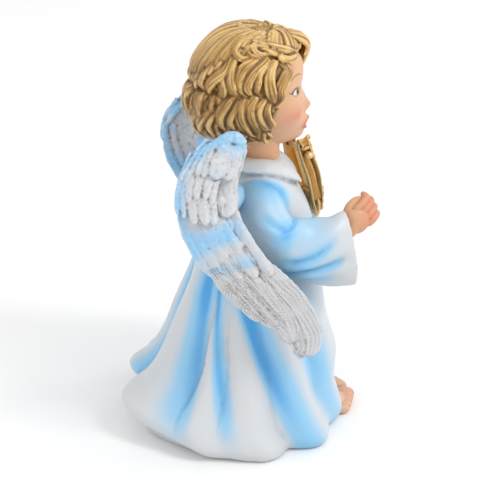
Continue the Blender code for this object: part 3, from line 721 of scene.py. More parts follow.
def fold_place(turn, z):
    """Which fold a point lies in, its share of the way over it, and the width of the fold."""
    lift = min(z / 100.0, 1.25)
    valleys = []
    for base in VALLEYS:
        folded = base if base <= LAST_NEAR_VALLEY else 360.0 - base
        shift = 32.0 * (1.0 - smooth(65.0, 140.0, abs(folded))) * smooth(0.0, 25.0, abs(folded))
        sign = 1.0 if 0.0 <= base <= LAST_NEAR_VALLEY else -1.0
        valleys.append(base + sign * shift * lift)
    turn = (turn - valleys[0]) % 360.0 + valleys[0]
    valleys.append(valleys[0] + 360.0)
    for i, (low, high) in enumerate(zip(valleys, valleys[1:])):
        if low <= turn <= high:
            return i, (turn - low) / (high - low), (high - low) / 36.0
    return 0, 0.0, 1.0


def fold_height(turn, z):
    """How far the cloth stands out at one angle and height, and the width of its fold."""
    i, share, width = fold_place(turn, z)
    height = (math.sqrt(math.sin(math.pi * share) ** 2 + 0.05) - 0.224) / 0.80
    for valley, off in ((i, share), ((i + 1) % len(VALLEYS), 1.0 - share)):
        if valley in STOPPED_VALLEYS:
            shallow = 0.62 * bell(off, 0.42) * (1.0 - smooth(4.0, 46.0, z))
            height += (1.0 - height) * shallow
    return width * height, width


def valley_blue(turn, z):
    """How blue the airbrush left a point near the valleys, which fade before the hem or run out over it."""
    i, share, _ = fold_place(turn, z)
    following = (i + 1) % len(VALLEYS)
    stop = smooth(0.0, 38.0, z)
    after = VALLEY_TONES[i] * (1.0 - smooth(0.0, FADES[i][1], share))
    before = VALLEY_TONES[following] * (1.0 - smooth(0.0, FADES[following][0], 1.0 - share))
    if i in STOPPED_VALLEYS:
        after *= stop
    if following in STOPPED_VALLEYS:
        before *= stop
    return max(after, before)


def gown_point(turn, z):
    """A point on the gown at an angle from the front, in degrees, and a height."""
    front, back, half = follow(GOWN, z)
    centre, deep = (front + back) / 2.0, (back - front) / 2.0
    a = math.radians(turn)
    height, width = fold_height(turn, z)
    ahead = from_front(turn)
    side = smooth(10.0, 60.0, abs(ahead))
    depth = 11.0 * (0.35 + 0.65 * side) * (1.0 - smooth(20.0, 150.0, z)) ** 0.9
    out = depth * (height - 0.62 * width)
    out += 3.6 * bell(ahead - 17.0, 12.0) * bell(z - 56.0, 20.0)
    out += 3.0 * bell(ahead + 15.0, 12.0) * bell(z - 54.0, 22.0)
    # the fold that flares out at the near back corner, and the one behind it, which lies further in
    low = 1.0 - smooth(20.0, 120.0, z)
    out += 2.4 * bell(turn % 360.0 - 158.0, 16.0) * low - 4.0 * bell(turn % 360.0 - 204.0, 15.0) * low
    # small folds that run beside the large ones
    ripple = math.sin(math.radians(turn * 9.0 + 40.0 * math.sin(z / 34.0)))
    out += 0.55 * ripple * (1.0 - smooth(30.0, 140.0, z))
    swell = 1.0 + 0.06 * abs(math.sin(2.0 * a)) * (1.0 - smooth(60.0, 150.0, z))
    x = -math.sin(a) * (half * swell + out)
    y = centre - math.cos(a) * (deep * swell + out)
    behind = max(0.0, -math.cos(a)) ** 2
    lifted = TRAIN_LIFT * behind * (1.0 - smooth(0.0, 55.0, z))
    return Vector((x, y, z + lifted)) * MM


def gown():
    around, levels = 420, 150
    rings = []
    for share in (0.5, 0.84, 0.90):
        ring = []
        for k in range(around):
            rim = gown_point(360.0 * k / around, 1.2)
            ring.append(Vector((rim.x * share, (rim.y - UNDERSIDE_Y) * share + UNDERSIDE_Y, 0.0)))
        rings.append(ring)
    for i in range(levels + 1):
        z = 1.0 + 200.0 * (i / levels)
        rings.append([gown_point(360.0 * k / around, z) for k in range(around)])
    return skin("gown", rings, Vector((0.0, UNDERSIDE_Y, 0.0)))


SLEEVE = (
    (0.0, -20.0, -28.0, 181.0, 12.0, 14.0),
    (1.0, -36.0, -29.0, 178.0, 15.0, 17.0),
    (2.0, -47.0, -32.0, 166.0, 16.0, 19.0),
    (3.0, -52.0, -41.0, 152.0, 15.5, 22.0),
    (4.0, -51.0, -58.0, 147.0, 15.5, 22.5),
    (5.0, -48.0, -77.0, 145.0, 16.0, 25.5),
    (6.0, -45.0, -93.0, 143.5, 16.5, 28.0),
)
# Long drape lines of a sleeve: first and last share, their angles round it, depth and half width
DRAPES = (
    (3.1, 5.2, 3.42, 2.50, 0.15, 0.12),
    (2.9, 5.8, 3.85, 3.05, 0.16, 0.13),
    (1.6, 2.9, 3.10, 2.10, 0.08, 0.18),
    (3.4, 5.6, 4.35, 3.80, 0.07, 0.18),
    (3.3, 5.0, 0.35, 0.80, 0.10, 0.18),
)
CUFF_WALL = 3.0
CUFF_RECESS = 12.0


def sleeve_stations(side, steps):
    """Centre, axes and half sizes of a sleeve at even steps. The left one ends further back and out."""
    path = []
    for i in range(steps + 1):
        at = SLEEVE[-1][0] * i / steps
        x, y, z, wide, tall = follow(SLEEVE, at)
        drawn = max(0.0, side) * smooth(3.0, 6.0, at)
        path.append((at, Vector((x - 5.0 * drawn, y + 7.0 * drawn, z)), wide, tall))
    result = []
    for i, (at, centre, wide, tall) in enumerate(path):
        ahead = (path[min(i + 1, steps)][1] - path[max(i - 1, 0)][1]).normalized()
        across = Vector((1.0, 0.0, 0.0))
        across = (across - ahead * across.dot(ahead)).normalized()
        up = across.cross(ahead)
        if up.z < 0.0:
            up = -up
        result.append((at, centre, across, up, wide, tall))
    return result


def off_drape(a, at, drape):
    """How far round the sleeve a point lies from a drape line, in radians."""
    from_at, to_at, start_a, end_a = drape[:4]
    line = start_a + (end_a - start_a) * max(0.0, (at - from_at) / (to_at - from_at)) ** 1.6
    return (a - line + math.pi) % (2.0 * math.pi) - math.pi


def sleeve(side):
    """A bell sleeve with creases at the elbow, long drape lines and a recess in its cuff."""
    around = 120
    rings = []
    for at, centre, across, up, wide, tall in sleeve_stations(side, 110):
        ring = []
        for k in range(around):
            a = 2.0 * math.pi * k / around
            crease = 1.0 + 0.05 * math.sin(3.0 * a + 2.6 * at) * smooth(1.5, 3.5, at)
            # fine creases that spread from the crook of the arm
            upper = 0.5 + 0.5 * math.sin(a)
            crease += 0.035 * math.sin(at * 12.0 - 2.2 * a) * bell(at - 2.75, 0.55) * upper
            for drape in DRAPES:
                from_at, to_at, _, _, deep, half = drape
                on = smooth(from_at, from_at + 0.5, at) * (1.0 - smooth(to_at - 0.6, to_at, at))
                off = off_drape(a, at, drape)
                crease -= deep * on * (bell(off, half) - 0.55 * bell(off - 1.9 * half, 0.8 * half))
            spot = centre + (across * math.cos(a) * wide + up * math.sin(a) * tall) * crease
            spot.y += 6.0 * smooth(4.5, 6.0, at) * math.sin(a)
            ring.append(Vector((-side * spot.x, spot.y, spot.z)) * MM)
        rings.append(ring)
    mouth = rings[-1]
    middle = sum(mouth, Vector()) / around
    reach = sum(((p - middle).length for p in mouth), 0.0) / around
    share = 1.0 - CUFF_WALL * MM / reach
    inner = [middle + (p - middle) * share for p in mouth]
    back = Vector((0.0, CUFF_RECESS * MM, 0.0))
    rings.append(inner)
    rings.append([middle + (p - middle) * 0.92 + back * 0.6 for p in inner])
    rings.append([middle + (p - middle) * 0.80 + back for p in inner])
    return skin("sleeve", rings, None, middle + back)


def collar():
    """A flat collar with rounded points, which lies on the shoulders and opens at the front."""
    sections = []
    count = 150
    for i in range(count + 1):
        turn = 6.0 + 348.0 * i / count
        a = math.radians(turn)
        out = Vector((-math.sin(a), -math.cos(a), 0.0))
        front = max(0.0, math.cos(a))
        near_corner = min(i, count - i) / count
        reach = (31.0 - 3.0 * front) * (0.60 + 0.40 * smooth(-0.03, 0.075, near_corner) ** 0.7)
        drop = 4.4 + 13.4 * front ** 1.5
        centre = Vector((0.0, -36.0, 203.0 - 3.6 * front))
        inner = centre + out * 15.5
        outer = centre + Vector((out.x * reach, out.y * reach - 4.0 * front, -drop))
        ring = []
        for k in range(24):
            b = 2.0 * math.pi * k / 24
            along = 0.5 - 0.5 * math.cos(b)
            spot = inner.lerp(outer, along)
            bulge = 2.2 * math.sin(math.pi * along)
            thick = 1.5 * abs(math.sin(b)) ** 0.6 * (1.0 if b < math.pi else -2.2)
            spot.z += bulge + thick
            ring.append(spot * MM)
        sections.append(ring)
    return skin("collar", sections)


SLEEVES = {side: sleeve_stations(side, 60) for side in (-1.0, 1.0)}


def robe_blue(points):
    """Where the airbrush laid blue on the robe."""
    result = np.zeros(len(points))
    for i, (x, y, z) in enumerate(points * 1000.0):
        turn = math.degrees(math.atan2(-x, -(y + 24.0))) % 360.0
        blue = valley_blue(turn, max(z, 3.0)) * (0.72 + 0.38 * smooth(10.0, 70.0, z))
        ahead = from_front(turn)
        blue *= 1.0 - 0.85 * smooth(105.0, 160.0, z)
        # soft blue over the chest, waist and front of the skirt
        waist = smooth(80.0, 120.0, z) * (1.0 - smooth(150.0, 180.0, z))
        blue += waist * (0.26 + 0.16 * math.cos(math.radians(ahead * 3.0)))
        chest = 0.35 + 0.65 * smooth(-0.4, 0.6, math.cos(math.radians(ahead)))
        blue += 0.42 * bell(z - 186.0, 9.0) * chest
        blue += 0.26 * bell(ahead, 46.0) * bell(z - 50.0, 50.0)
        if abs(x) > 20.0 and z > 105.0:
            spot = Vector((-abs(x), y, z))
            at, centre, across, up, wide, tall = min(
                SLEEVES[-1.0 if x < 0.0 else 1.0], key=lambda station: (spot - station[1]).length_squared)
            away = spot - centre
            c, rise = away.dot(across) / wide, away.dot(up)
            on = smooth(1.44, 1.20, math.hypot(c, rise / tall)) * smooth(20.0, 26.0, abs(x))
            a = math.atan2(rise / tall, c) % (2.0 * math.pi)
            arm = 0.74 * bell(at - 0.75, 0.50) * (0.25 + 0.75 * smooth(-6.0, 12.0, rise))
            arm += 0.78 * bell(at - 2.75, 0.50) * smooth(-8.0, 14.0, rise)
            arm += 0.26 * bell(at - 4.3, 0.9) * smooth(-4.0, 18.0, rise)
            for drape in DRAPES:
                from_at, to_at, _, _, deep, half = drape
                here = smooth(from_at - 0.1, from_at + 0.5, at) * (1.0 - smooth(to_at - 0.8, to_at, at))
                arm += 5.0 * deep * here * bell(off_drape(a, at, drape), 1.4 * half)
            arm += 0.34 * bell(at - 1.4, 1.2) + 0.26 * bell(at - 3.6, 1.3)
            arm *= 1.0 - 0.92 * smooth(5.3, 5.9, at)
            blue = blue * (1.0 - on) + arm * on
        ring = math.hypot(x, y + 36.0)
        if z > 178.0 and ring < 33.0:
            blue *= smooth(29.5, 32.5, ring)
        result[i] = blue
    return np.clip(result, 0.0, 1.25)


# The front edge of each wing where it passes the robe: height, then place from front to back
SHADED_EDGE = ((100.0, -66.0), (120.0, -57.0), (136.0, -47.0), (151.0, -36.0), (166.0, -27.0),
               (179.0, -21.0), (204.0, -19.0))


def wing_shade(points):
    """The painted shadow of each wing on the robe, along its front edge."""
    result = []
    for x, y, z in points * 1000.0:
        edge_y = follow(SHADED_EDGE, z)[0]
        ahead = edge_y - y
        near = smooth(17.0, -2.0, ahead) * smooth(-30.0, -8.0, ahead) * smooth(16.0, 30.0, abs(x))
        result.append(near * smooth(96.0, 128.0, z) * smooth(206.0, 188.0, z))
    return np.array(result)


robe_mesh = cast("robe", [gown(), sleeve(-1.0), sleeve(1.0), collar()], ROBE_GRAIN, 3)
robe_points, robe_edges = read(robe_mesh)
robe_points[:, 2] = np.maximum(robe_points[:, 2], 0.0)
robe_mesh.vertices.foreach_set("co", robe_points.ravel())
keep(robe_mesh, "shade", wing_shade(robe_points))
keep(robe_mesh, "blue", averaged(robe_blue(robe_points), robe_edges, len(robe_points), 4))
hollows(robe_mesh, "hollow", 14, 0.9 * MM)
piece("robe", robe_mesh, ROBE_FINISH, "figure")

# Head
HEAD = Vector((0.0, -28.0, 252.0))
EYE_X, EYE_Z = 17.6, 0.8


def face_point(side, out, up):
    """A point on the head in one direction, with cheeks, brow, lids, nose, lips and chin."""
    spot = Vector((side * 32.5, out * 39.0, up * 41.5 - 3.0 * smooth(-0.55, -1.0, up)))
    forward = smooth(0.1, 0.8, -out)
    jaw = smooth(0.1, -0.9, up)
    spot.x *= 1.0 - 0.20 * jaw
    spot.y *= 1.0 + 0.38 * smooth(-0.35, -0.95, up) * smooth(0.0, 0.35, -out)
    spot.y -= 2.0 * jaw * forward
    for eye in (-1.0, 1.0):
        spot.y -= 3.6 * bell(spot.x - eye * 19.0, 11.0) * bell(spot.z + 18.0, 11.0) * forward
        spot.x += eye * 2.4 * bell(spot.x - eye * 24.0, 10.0) * bell(spot.z + 18.0, 11.0)
        dx, dz = spot.x - eye * EYE_X, spot.z - EYE_Z
        spot.y += 3.2 * bell(dx, 8.0) * bell(dz, 6.4) * forward
        lens = math.sqrt((dx / 5.2) ** 2 + (dz / 3.3) ** 2)
        spot.y -= 1.8 * (1.0 - smooth(0.3, 1.15, lens)) * forward
        spot.y -= 0.9 * bell(lens - 1.25, 0.22) * (1.0 if dz > 0.0 else 0.55) * forward
        spot.y += 0.7 * bell(spot.x - eye * 2.3, 1.1) * bell(spot.z + 18.6, 0.9) * forward
        spot.y -= 1.0 * bell(spot.x - eye * 3.6, 2.0) * bell(spot.z + 16.8, 2.4) * forward
    spot.y -= 5.4 * bell(spot.x, 4.2) * bell(spot.z + 14.5, 4.4) * forward
    spot.y -= 1.6 * bell(spot.x, 3.2) * bell(spot.z + 8.0, 6.0) * forward
    spot.y += 2.4 * bell(spot.x, 11.0) * bell(spot.z - 1.0, 7.0) * forward
    spot.y -= 3.4 * bell(spot.x, 22.0) * bell(spot.z - 24.0, 11.0) * smooth(0.0, 0.5, -out)
    spot.y -= 1.6 * bell(spot.x, 5.5) * bell(spot.z + 22.0, 2.6) * forward
    spot.y -= 2.6 * bell(spot.x, 9.0) * bell(spot.z + 26.0, 7.0) * forward
    opening = (spot.x / 4.6) ** 2 + ((spot.z + 27.0) / 2.7) ** 2
    lip = math.sqrt(opening)
    spot.y -= 2.1 * bell(lip - 1.40, 0.42) * forward
    spot.y += 4.6 * (1.0 - smooth(0.4, 1.1, lip)) * forward
    spot.y += 0.5 * bell(spot.x, 1.2) * bell(spot.z + 21.0, 2.0) * forward
    spot.y -= 7.2 * bell(spot.x, 10.0) * bell(spot.z + 38.0, 6.5) * smooth(0.0, 0.4, -out)
    return (HEAD + spot) * MM


def head():
    around, count = 260, 230
    rows = []
    for i in range(1, count):
        polar = math.pi * (i / count) ** 1.15
        row = []
        for k in range(around):
            a = 2.0 * math.pi * k / around
            pinch = a - 0.62 * math.sin(a)
            side, out = math.sin(polar) * math.sin(pinch), -math.sin(polar) * math.cos(pinch)
            row.append(face_point(side, out, -math.cos(polar)))
        rows.append(row)
    return skin("head", rows, face_point(0.0, 0.0, -1.0), face_point(0.0, 0.0, 1.0))


head_mesh = head()
face_points, _ = read(head_mesh)
spots = face_points * 1000.0 - np.array(HEAD)
x, y, z = spots[:, 0], spots[:, 1], spots[:, 2]


def edge(values, low, high):
    """1 below the low value, 0 above the high one."""
    share = np.clip((values - low) / (high - low), 0.0, 1.0)
    return 1.0 - share * share * (3.0 - 2.0 * share)


mirror_x = np.abs(x)
dx, dz = mirror_x - EYE_X, z - EYE_Z
ahead = np.clip((-y - 14.0) / 10.0, 0.0, 1.0)
lens = np.sqrt((dx / 4.0) ** 2 + ((dz + 0.02 * dx ** 2) / 2.2) ** 2)
keep(head_mesh, "eye_white", edge(lens, 0.90, 1.02) * ahead)
iris = np.sqrt((dx + 1.2) ** 2 + (dz - 0.1) ** 2)
keep(head_mesh, "iris", edge(iris, 2.5, 2.8) * edge(lens, 0.92, 1.02) * ahead)
pupil = edge(iris, 1.4, 1.8) * edge(lens, 0.92, 1.02)
lash = np.exp(-((lens - 1.12) / 0.17) ** 2) * (dz > -0.4)
corner = np.exp(-((dz - 0.1 - 0.5 * (dx - 4.6)) / 0.45) ** 2) * edge(np.abs(dx - 5.8), 0.9, 1.7)
lower = 0.45 * np.exp(-((lens - 1.04) / 0.09) ** 2) * (dz <= -0.4)
arch = dz - (12.4 - 0.085 * (dx + 0.5) ** 2)
brow = 0.75 * np.exp(-(arch / 0.42) ** 2) * edge(np.abs(dx - 0.4), 4.4, 5.8)
keep(head_mesh, "dark_line", np.clip(pupil + lash + lower + corner + brow, 0.0, 1.0) * ahead)
keep(head_mesh, "glint", edge(np.sqrt((dx + 1.6) ** 2 + (dz - 0.9) ** 2), 0.28, 0.45) * ahead)
lip = np.sqrt((x / 4.6) ** 2 + ((z + 27.0) / 2.7) ** 2)
lips = np.exp(-((lip - 1.36) / 0.34) ** 2) * edge(lip, 1.8, 2.2)
keep(head_mesh, "lips", np.clip(0.9 * lips, 0.0, 1.0) * ahead)
keep(head_mesh, "mouth", edge(lip, 0.72, 1.0) * ahead)
cheek = 0.80 * np.exp(-((mirror_x - 17.5) / 7.0) ** 2 - ((z + 15.5) / 5.8) ** 2)
nose_tip = 0.30 * np.exp(-(x / 4.0) ** 2 - ((z + 14.0) / 4.0) ** 2)
chin = 0.20 * np.exp(-(x / 8.0) ** 2 - ((z + 38.0) / 5.0) ** 2)
keep(head_mesh, "blush", np.clip(cheek + nose_tip + chin, 0.0, 1.0))
hollows(head_mesh, "hollow", 10, 0.35 * MM)
piece("face", head_mesh, FACE_FINISH, "figure")


def plain_skin_masks(mesh, blush):
    for label in ("lips", "mouth", "eye_white", "iris", "dark_line", "glint"):
        keep(mesh, label, np.zeros(len(mesh.vertices)))
    keep(mesh, "blush", blush)
    hollows(mesh, "hollow", 16, 0.55 * MM)


neck_spots, neck_sizes = rounded_path(
    [(0.0, -0.035, 0.186), (0.0, -0.035, 0.205), (0.0, -0.034, 0.226)], [0.0150, 0.0146, 0.0165], 30)
neck_mesh = tube("neck", neck_spots, neck_sizes, neck_sizes, Vector((1.0, 0.0, 0.0)), 64)
plain_skin_masks(neck_mesh, np.zeros(len(neck_mesh.vertices)))
piece("neck", neck_mesh, SKIN_FINISH, "figure")

# Hair
HAIR = Vector((0.0, -25.5, 257.5))
HAIR_HALF = (38.5, 38.5, 41.0)
# Where the combed strands begin on the crown: angle from the front and height share
WHORL = (35.0, 0.945)


def toward(turn, up):
    """The direction from the middle of the hair at an angle from the front and a height share."""
    a = math.radians(turn)
    level = math.sqrt(max(0.0, 1.0 - up * up))
    return Vector((-math.sin(a) * level, -math.cos(a) * level, up))


def hair_surface(turn, up):
    """A point on the hair mass at an angle from the front, in degrees, and a height share."""
    a = math.radians(turn)
    ahead = from_front(turn)
    level = math.sqrt(max(0.0, 1.0 - up * up))
    if up < -0.05:
        level = 1.0 - 0.18 * smooth(-0.05, -0.95, up)
        level += 0.13 * bell(up + 0.48, 0.34) * smooth(95.0, 150.0, abs(ahead))
    level -= 0.11 * bell(up - 0.02, 0.08) * smooth(112.0, 150.0, abs(ahead))
    level *= 1.0 - 0.05 * bell(up - 0.70, 0.25) * smooth(80.0, 140.0, abs(ahead))
    half = Vector((-math.sin(a) * level * HAIR_HALF[0], -math.cos(a) * level * HAIR_HALF[1],
                   up * HAIR_HALF[2] - 1.5 * smooth(0.5, 1.0, up)))
    half.y -= 7.0 * bell(ahead, 42.0) * smooth(0.15, 0.6, up)
    return HAIR + half


def hair_mass():
    """The mass under the locks, drawn in behind the face."""
    rows = []
    for i in range(61):
        up = -0.88 + 1.84 * i / 60
        row = []
        for k in range(128):
            turn = 360.0 * k / 128
            spot = hair_surface(turn, up)
            front = smooth(66.0, 48.0, abs(from_front(turn)))
            if up < 0.56:
                spot.y += front * (spot.y - HAIR.y) * -0.55 * smooth(0.56, 0.44, up)
            row.append(spot * MM)
        rows.append(row)
    return skin("hair_mass", rows)


def cap_edge(turn):
    """How low the combed crown reaches at an angle: to the band in front, far down at the back."""
    return 0.60 - 0.48 * smooth(105.0, 170.0, abs(from_front(turn)))


def hair_cap():
    """The combed crown, ending in a thick edge that is lowest at the back."""
    rows = []
    for i in range(48):
        share = i / 47
        row = []
        for k in range(150):
            turn = 360.0 * k / 150
            low = cap_edge(turn)
            spot = hair_surface(turn, low + share * (0.995 - low))
            swell = 1.0 - 0.10 * smooth(0.07, 0.0, share)
            row.append((HAIR + (spot - HAIR) * swell) * MM)
        rows.append(row)
    return skin("hair_cap", rows, (HAIR + Vector((0.0, 0.0, 6.0))) * MM,
                (HAIR + Vector((0.0, 0.0, HAIR_HALF[2] * 0.975))) * MM)


def hair_path(place, widths, depths, lean=0.0):
    """A path for a lock. place gives its points, which lie on the hair."""
    count = len(widths)
    points = [place(i / (count - 1)) for i in range(count)]
    path = []
    along = 0.0
    for i, spot in enumerate(points):
        ahead = (points[min(i + 1, count - 1)] - points[max(i - 1, 0)]).normalized()
        out = (spot - HAIR - Vector((0.0, 0.0, (spot.z - HAIR.z) * 0.4))).normalized()
        side = ahead.cross(out).normalized()
        up = side.cross(ahead).normalized()
        if lean:
            turned = Matrix.Rotation(lean, 3, ahead)
            side, up = turned @ side, turned @ up
        if i:
            along += (spot - points[i - 1]).length
        path.append((spot * MM, side, up, widths[i] * MM, depths[i] * MM, along * MM))
    return path


def taper(count, width, start=0.5, end=0.12):
    """Half widths of a lock: it swells from its start and runs out to a fine tip."""
    result = []
    for i in range(count):
        share = i / (count - 1)
        result.append(width * (start + (1.0 - start) * smooth(0.0, 0.25, share))
                      * (1.0 - (1.0 - end) * smooth(0.55, 1.0, share)))
    return result


def crown_strand(end_turn, width, lift, extra=0.0):
    """A combed strand: from the whorl back over the crown, then down to the edge of the cap."""
    end = toward(end_turn, cap_edge(end_turn) - 0.02 + extra)
    start = (toward(*WHORL) + end * 0.03).normalized()
    if end_turn > 0.0:
        lead = 24.0 + 24.0 * smooth(125.0, 60.0, end_turn)
    else:
        lead = -24.0 + 72.0 * smooth(-115.0, -50.0, end_turn)
    middle = toward(end_turn - lead, 0.88)

    def place(share):
        way = start * (1.0 - share) ** 2 + middle * 2.0 * share * (1.0 - share) + end * share ** 2
        way.normalize()
        spot = hair_surface(math.degrees(math.atan2(-way.x, -way.y)), min(0.993, way.z))
        rise = -1.2 + (2.0 + 0.6 * lift) * smooth(0.0, 0.25, share) - 1.6 * smooth(0.92, 1.0, share)
        return spot + way * rise
    count = 34
    widths = []
    for i in range(count):
        share = i / (count - 1)
        widths.append(width * (0.2 + 0.8 * smooth(0.0, 0.55, share))
                      * (1.0 - 0.45 * smooth(0.88, 1.0, share)))
    return hair_path(place, widths, [min(1.9, 0.44 * w) for w in widths])


# Locks of one side: half width, rise, then the angle and height share of each bend.
# Upper tier, back of the head and lower tier
SIDE_LOCKS = (
    (3.9, 2.4, (112, 0.61), (114, 0.41), (113, 0.20), (109, 0.05), (101, -0.07)),
    (3.5, 3.4, (81, 0.62), (98, 0.48), (105, 0.30), (104, 0.12), (96, -0.03)),
    (3.1, 4.0, (72, 0.60), (89, 0.42), (96, 0.24), (95, 0.10), (89, -0.03)),
    (2.9, 4.2, (69, 0.55), (84, 0.42), (87, 0.27), (87, 0.11), (82, -0.02)),
    (3.4, 4.2, (63, 0.54), (73, 0.40), (75, 0.22), (73, 0.04), (69, -0.12), (65, -0.10)),
    (3.7, 3.6, (55, 0.49), (52, 0.35), (59, 0.21), (64, 0.08), (63, -0.08), (68, -0.20), (72, -0.16)),
    (3.7, 2.6, (117, 0.61), (120, 0.41), (132, 0.23), (140, 0.04), (142, -0.13), (138, -0.33)),
    (3.2, 2.0, (122, 0.52), (123, 0.28), (120, 0.10), (125, -0.11), (124, -0.32)),
    (3.7, 2.6, (140, 0.48), (147, 0.21), (146, 0.02), (147, -0.22), (145, -0.53), (140, -0.70)),
    (3.7, 2.4, (150, 0.27), (160, 0.07), (172, -0.16), (171, -0.40), (165, -0.62)),
    (3.4, 2.2, (165, 0.16), (179, -0.10), (184, -0.33), (179, -0.55), (172, -0.74)),
    (3.5, 2.2, (110, 0.02), (118, -0.16), (124, -0.37), (123, -0.55), (116, -0.70)),
    (3.1, 2.4, (104, -0.05), (110, -0.22), (115, -0.41), (112, -0.57), (104, -0.70)),
    (3.5, 3.0, (98, -0.03), (104, -0.22), (103, -0.43), (95, -0.66), (86, -0.76)),
    (3.5, 3.4, (88, 0.00), (95, -0.18), (93, -0.40), (85, -0.61), (75, -0.70)),
    (3.3, 3.4, (79, -0.04), (87, -0.22), (84, -0.44), (76, -0.60), (65, -0.66)),
    (2.9, 3.2, (74, -0.10), (78, -0.23), (75, -0.42), (66, -0.56), (59, -0.62)),
    (3.3, 2.2, (135, -0.28), (146, -0.50), (155, -0.70), (152, -0.86)),
    (3.1, 2.0, (151, -0.41), (165, -0.62), (165, -0.79), (160, -0.92)),
    (3.1, 2.2, (129, -0.30), (137, -0.50), (137, -0.69), (131, -0.82)),
    (2.8, 1.6, (96, -0.62), (104, -0.76), (100, -0.90)),
    (2.6, 1.6, (112, -0.66), (118, -0.80), (112, -0.94)),
)
# Curls of the band over the ear: half width, rise, then each bend
BAND_CURLS = (
    (2.7, 2.6, (47, 0.88), (76, 0.87), (103, 0.86), (112, 0.77), (110, 0.67), (102, 0.60), (93, 0.62),
     (88, 0.70), (94, 0.76)),
    (2.4, 2.9, (52, 0.83), (74, 0.82), (86, 0.78), (85, 0.69), (76, 0.64), (66, 0.65), (58, 0.68)),
    (3.1, 3.6, (70, 0.80), (63, 0.75), (54, 0.70), (45, 0.66), (36, 0.62), (28, 0.57)),
    (3.1, 3.0, (53, 0.66), (55, 0.56), (45, 0.50), (33, 0.52), (27, 0.58)),
    (2.6, 3.0, (84, 0.76), (71, 0.72), (62, 0.66), (54, 0.62), (46, 0.60)),
    (2.2, 2.2, (99, 0.68), (88, 0.62), (78, 0.60), (66, 0.60)),
    (2.2, 2.6, (92, 0.84), (84, 0.83), (72, 0.79), (64, 0.80), (58, 0.84)),
    (4.6, 0.8, (106, 0.70), (90, 0.72), (70, 0.72), (50, 0.66), (32, 0.60)),
)
# Casting pinholes and deep curl centres, painted near black as their shadow: angle, height share and radius
PITS = ((103, 0.72, 1.3), (80, 0.71, 1.5), (66, 0.70, 1.2), (59, 0.66, 0.8), (90, 0.66, 0.7),
        (158, 0.33, 1.1), (146, 0.38, 1.0), (168, 0.22, 0.9), (134, 0.44, 0.8), (71, -0.62, 0.9))


def bent_lock(bends, width, rise, side, shift, plump, tip=0.10, lean=0.0):
    """A lock through its bends, lifted off the head in its middle and run out to a tip."""
    keys = [(float(i), side * turn + shift, up) for i, (turn, up) in enumerate(bends)]
    last = keys[-1][0]

    def place(share):
        turn, up = follow(keys, share * last)
        spot = hair_surface(turn, up)
        out = (spot - Vector((HAIR.x, HAIR.y, spot.z * 0.75 + HAIR.z * 0.25))).normalized()
        lift = rise * (0.35 + 0.65 * math.sin(math.pi * min(1.0, share * 1.15) ** 0.8))
        return spot + out * lift
    count = 10 + 6 * len(bends)
    widths = taper(count, width, 0.6, tip)
    return hair_path(place, widths, [w * plump for w in widths], side * lean)


# The layer underneath: top and bottom height share of each tier, and how many locks it has
UNDER_TIERS = ((0.50, -0.10, 17), (0.12, -0.52, 17), (-0.22, -0.92, 16))


def all_locks():
    paths = []
    for side in (1.0, -1.0):
        for i, (width, rise, *bends) in enumerate(SIDE_LOCKS):
            vary = 1.0 if side > 0.0 else 1.0 + 0.10 * math.sin(4.7 * i)
            shift = 0.0 if side > 0.0 else 2.5 * math.sin(2.9 * i)
            paths.append(bent_lock(bends, 1.34 * width * vary, rise, side, shift, 0.50, 0.10, 0.36))
        # the layer underneath
        for tier, (top, bottom, count) in enumerate(UNDER_TIERS):
            for i in range(count):
                share = i / (count - 1)
                turn = 52.0 + 4.0 * tier + (126.0 - 4.0 * tier) * share
                bow = 12.0 + 4.0 * math.sin(1.7 * i + tier)
                low = bottom + 0.08 * math.sin(2.3 * i + tier)
                high = top - 0.30 * smooth(0.4, 1.0, share) * (1.0 if tier == 0 else 0.0)
                bends = [(turn, high), (turn + bow, high + (low - high) * 0.4),
                         (turn + bow * 0.9, high + (low - high) * 0.75), (turn - 2.0, low)]
                paths.append(bent_lock(bends, 3.4 + 0.7 * math.sin(3.1 * i), 0.1, side, 0.0, 0.55, 0.10, 0.3))
    return paths


def band_curls():
    paths = []
    for side in (1.0, -1.0):
        for i, (width, rise, *bends) in enumerate(BAND_CURLS):
            paths.append(bent_lock(bends, 1.1 * width, rise, side, 0.0, 0.62, 0.35, 0.15))
        # small curls along the thick edge at the back
        for i in range(9):
            turn = 128.0 + 6.5 * i
            up = cap_edge(turn)
            bends = [(turn - 4.0, up + 0.16), (turn, up + 0.02), (turn + 3.5, up - 0.06),
                     (turn + 7.0, up), (turn + 5.0, up + 0.06)]
            paths.append(bent_lock(bends, 2.1 + 0.3 * math.sin(2.0 * i), 1.8, side, 0.0, 0.9, 0.4))
    return paths


# Forelocks: angle and height share of the tip, how far it stands out, half width
FORELOCKS = ((-53.0, 0.12, 1.4, 3.4), (-43.0, 0.08, 2.6, 3.6), (-34.0, 0.04, 4.2, 3.4),
             (-25.0, 0.04, 5.6, 3.2), (-16.0, 0.08, 6.8, 2.9), (-8.0, 0.18, 6.6, 2.7),
             (2.0, 0.40, 4.4, 2.6))


